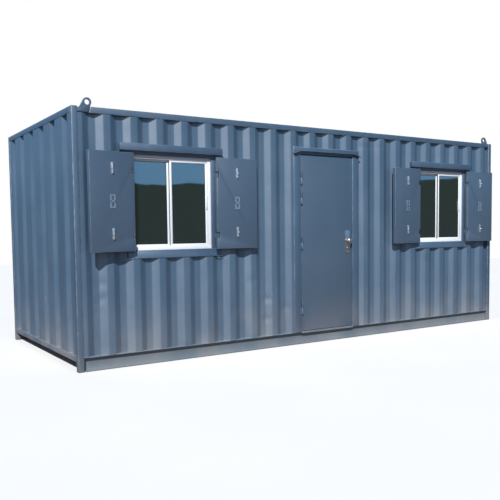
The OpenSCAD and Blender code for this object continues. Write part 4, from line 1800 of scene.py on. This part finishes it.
@dataclass
class Studio:
    """Pale floor, soft light, sky and camera."""

    eye: tuple[float, float, float] = (-1.999, -6.076, 1.339)
    yaw: float = 32.86
    pitch: float = 3.68
    roll: float = -0.73
    lens: float = 47.4
    shift: tuple[float, float] = (0.005, 0.045)
    floor_radius: float = 22.0
    bounce: Color = (0.15, 0.13, 0.12)
    sun_azimuth: float = 38.0
    sun_height: float = 40.0
    sun_power: float = 4.5
    sun_color: Color = (0.97, 0.985, 1.0)
    glow_azimuth: float = 24.0
    glow_height: float = 14.0
    glow: Color = (0.9, 1.1, 1.4)
    horizon: Color = (0.27, 0.60, 1.00)
    front_zenith: Color = (0.03, 0.07, 0.14)
    rear_zenith: Color = (0.16, 0.34, 0.70)
    far_right: Color = (0.05, 0.08, 0.11)
    trees: Color = (0.05, 0.07, 0.06)
    tree_top: float = 0.063
    tree_rise: float = 0.013
    ambient: Color = (0.075, 0.115, 0.20)

    def build(self) -> None:
        """Builds the floor, the lights and the camera."""
        self.build_floor()
        self.build_lights()
        self.build_sky()
        self.build_camera()

    def build_floor(self) -> None:
        """A round pale floor, which throws back less light than it shows the camera."""
        material, graph, shader = new_material("pale floor")
        tone = graph.fade(graph.cloud(0.8, 3.0), 0.2, 0.8)
        pale = graph.mix(tone, rgba((0.97, 0.94, 0.89)), rgba((1.00, 0.97, 0.92)))
        seen = graph.node("ShaderNodeLightPath").outputs["Is Camera Ray"]
        graph.feed(shader.inputs["Base Color"], graph.mix(seen, rgba(self.bounce), pale))
        shader.inputs["Roughness"].default_value = 0.9
        mesh = bmesh.new()
        bmesh.ops.create_circle(mesh, cap_ends=True, segments=96, radius=self.floor_radius)
        data = bpy.data.meshes.new("pale_floor")
        mesh.to_mesh(data)
        mesh.free()
        data.materials.append(material)
        floor = bpy.data.objects.new("pale_floor", data)
        bpy.context.scene.collection.objects.link(floor)

    def build_lights(self) -> None:
        """A sun from the upper left."""
        sun = bpy.data.lights.new("sun", "SUN")
        sun.energy = self.sun_power
        sun.angle = math.radians(1.2)
        sun.color = self.sun_color
        lamp = bpy.data.objects.new("sun", sun)
        lamp.location = self.towards(self.sun_azimuth, self.sun_height) * 12
        lamp.rotation_euler = (-lamp.location).to_track_quat("-Z", "Y").to_euler()
        bpy.context.scene.collection.objects.link(lamp)

    @staticmethod
    def towards(azimuth: float, height: float) -> Vector:
        """A direction out of the front, turned to the left and raised, in degrees."""
        turn, rise = math.radians(azimuth), math.radians(height)
        return Vector((-math.sin(turn) * math.cos(rise), -math.cos(turn) * math.cos(rise), math.sin(rise)))

    def build_sky(self) -> None:
        """A white backdrop for the camera, and a blue sky over trees for light and reflections."""
        world = bpy.data.worlds.new("soft sky")
        bpy.context.scene.world = world
        world.use_nodes = True
        graph = Graph(world.node_tree)
        shade = world.node_tree.nodes["Background"]
        where = graph.node("ShaderNodeTexCoord").outputs["Generated"]
        split = graph.node("ShaderNodeSeparateXYZ", {"Vector": where})
        height = split.outputs["Z"]
        rise = graph.fade(height, 0.15, 0.42)
        behind = graph.fade(split.outputs["Y"], 0.0, 0.5)
        zenith = graph.mix(behind, rgba(self.front_zenith), rgba(self.rear_zenith))
        sky = graph.mix(rise, rgba(self.horizon), zenith)
        sky = graph.mix(graph.fade(split.outputs["X"], 0.80, 0.96), sky, rgba(self.far_right))
        near = graph.node("ShaderNodeVectorMath", operation="DOT_PRODUCT")
        graph.feed(near.inputs[0], where)
        near.inputs[1].default_value = self.towards(self.glow_azimuth, self.glow_height)
        lit = graph.fade(near.outputs["Value"], math.cos(math.radians(37)), math.cos(math.radians(17)))
        sky = graph.mix(lit, sky, rgba(self.glow))
        crowns = graph.node("ShaderNodeTexNoise", {"Vector": where, "Scale": 26.0, "Detail": 4.0})
        line = graph.math("ADD", self.tree_top, graph.math("MULTIPLY", crowns.outputs["Fac"], self.tree_rise))
        above = graph.fade(height, line, graph.math("ADD", line, 0.003))
        around = graph.mix(above, rgba(self.trees), sky)
        path = graph.node("ShaderNodeLightPath")
        dimmed = graph.mix(path.outputs["Is Diffuse Ray"], around, rgba(self.ambient))
        seen = graph.mix(path.outputs["Is Camera Ray"], dimmed, rgba((1.0, 1.0, 1.0)))
        graph.feed(shade.inputs["Color"], seen)
        shade.inputs["Strength"].default_value = 1.0
        bpy.context.scene.view_settings.view_transform = "Standard"

    def build_camera(self) -> None:
        """The camera, turned by its yaw, pitch and roll."""
        posts = node_box("corner_posts")
        yaw, pitch, roll = (math.radians(a) for a in (self.yaw, self.pitch, self.roll))
        ahead = Vector((math.sin(yaw) * math.cos(pitch), math.cos(yaw) * math.cos(pitch), -math.sin(pitch)))
        right = Vector((math.cos(yaw), -math.sin(yaw), 0.0))
        up = right.cross(ahead)
        across = right * math.cos(roll) + up * math.sin(roll)
        upright = up * math.cos(roll) - right * math.sin(roll)
        camera = bpy.data.objects.new("camera", bpy.data.cameras.new("camera"))
        camera.data.lens = self.lens
        camera.data.sensor_width = 36.0
        camera.data.shift_x, camera.data.shift_y = self.shift
        camera.data.clip_end = 200.0
        turn = Matrix((across, upright, -ahead)).transposed()
        place = Vector((posts.low.x, posts.low.y, 0.0)) + Vector(self.eye)
        camera.matrix_world = Matrix.Translation(place) @ turn.to_4x4()
        bpy.context.scene.collection.objects.link(camera)
        bpy.context.scene.camera = camera


def main() -> None:
    """Builds the cabin piece by piece and then the studio."""
    logging.basicConfig(level=logging.INFO, format="%(name)s %(message)s")
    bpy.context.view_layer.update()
    finishes = Finishes()
    Studio().build()
    SteelFrame(finishes).build()
    Walls(finishes).build()
    Door(finishes).build()
    Windows(finishes).build()
    for window in ("left_window", "right_window"):
        for side in Side:
            name = f"{window}_{side.name.lower()}"
            Shutter(finishes, name, side, red_dot=side is Side.LEFT).build()
    Room(finishes).dress()


if __name__ == "__main__":
    main()
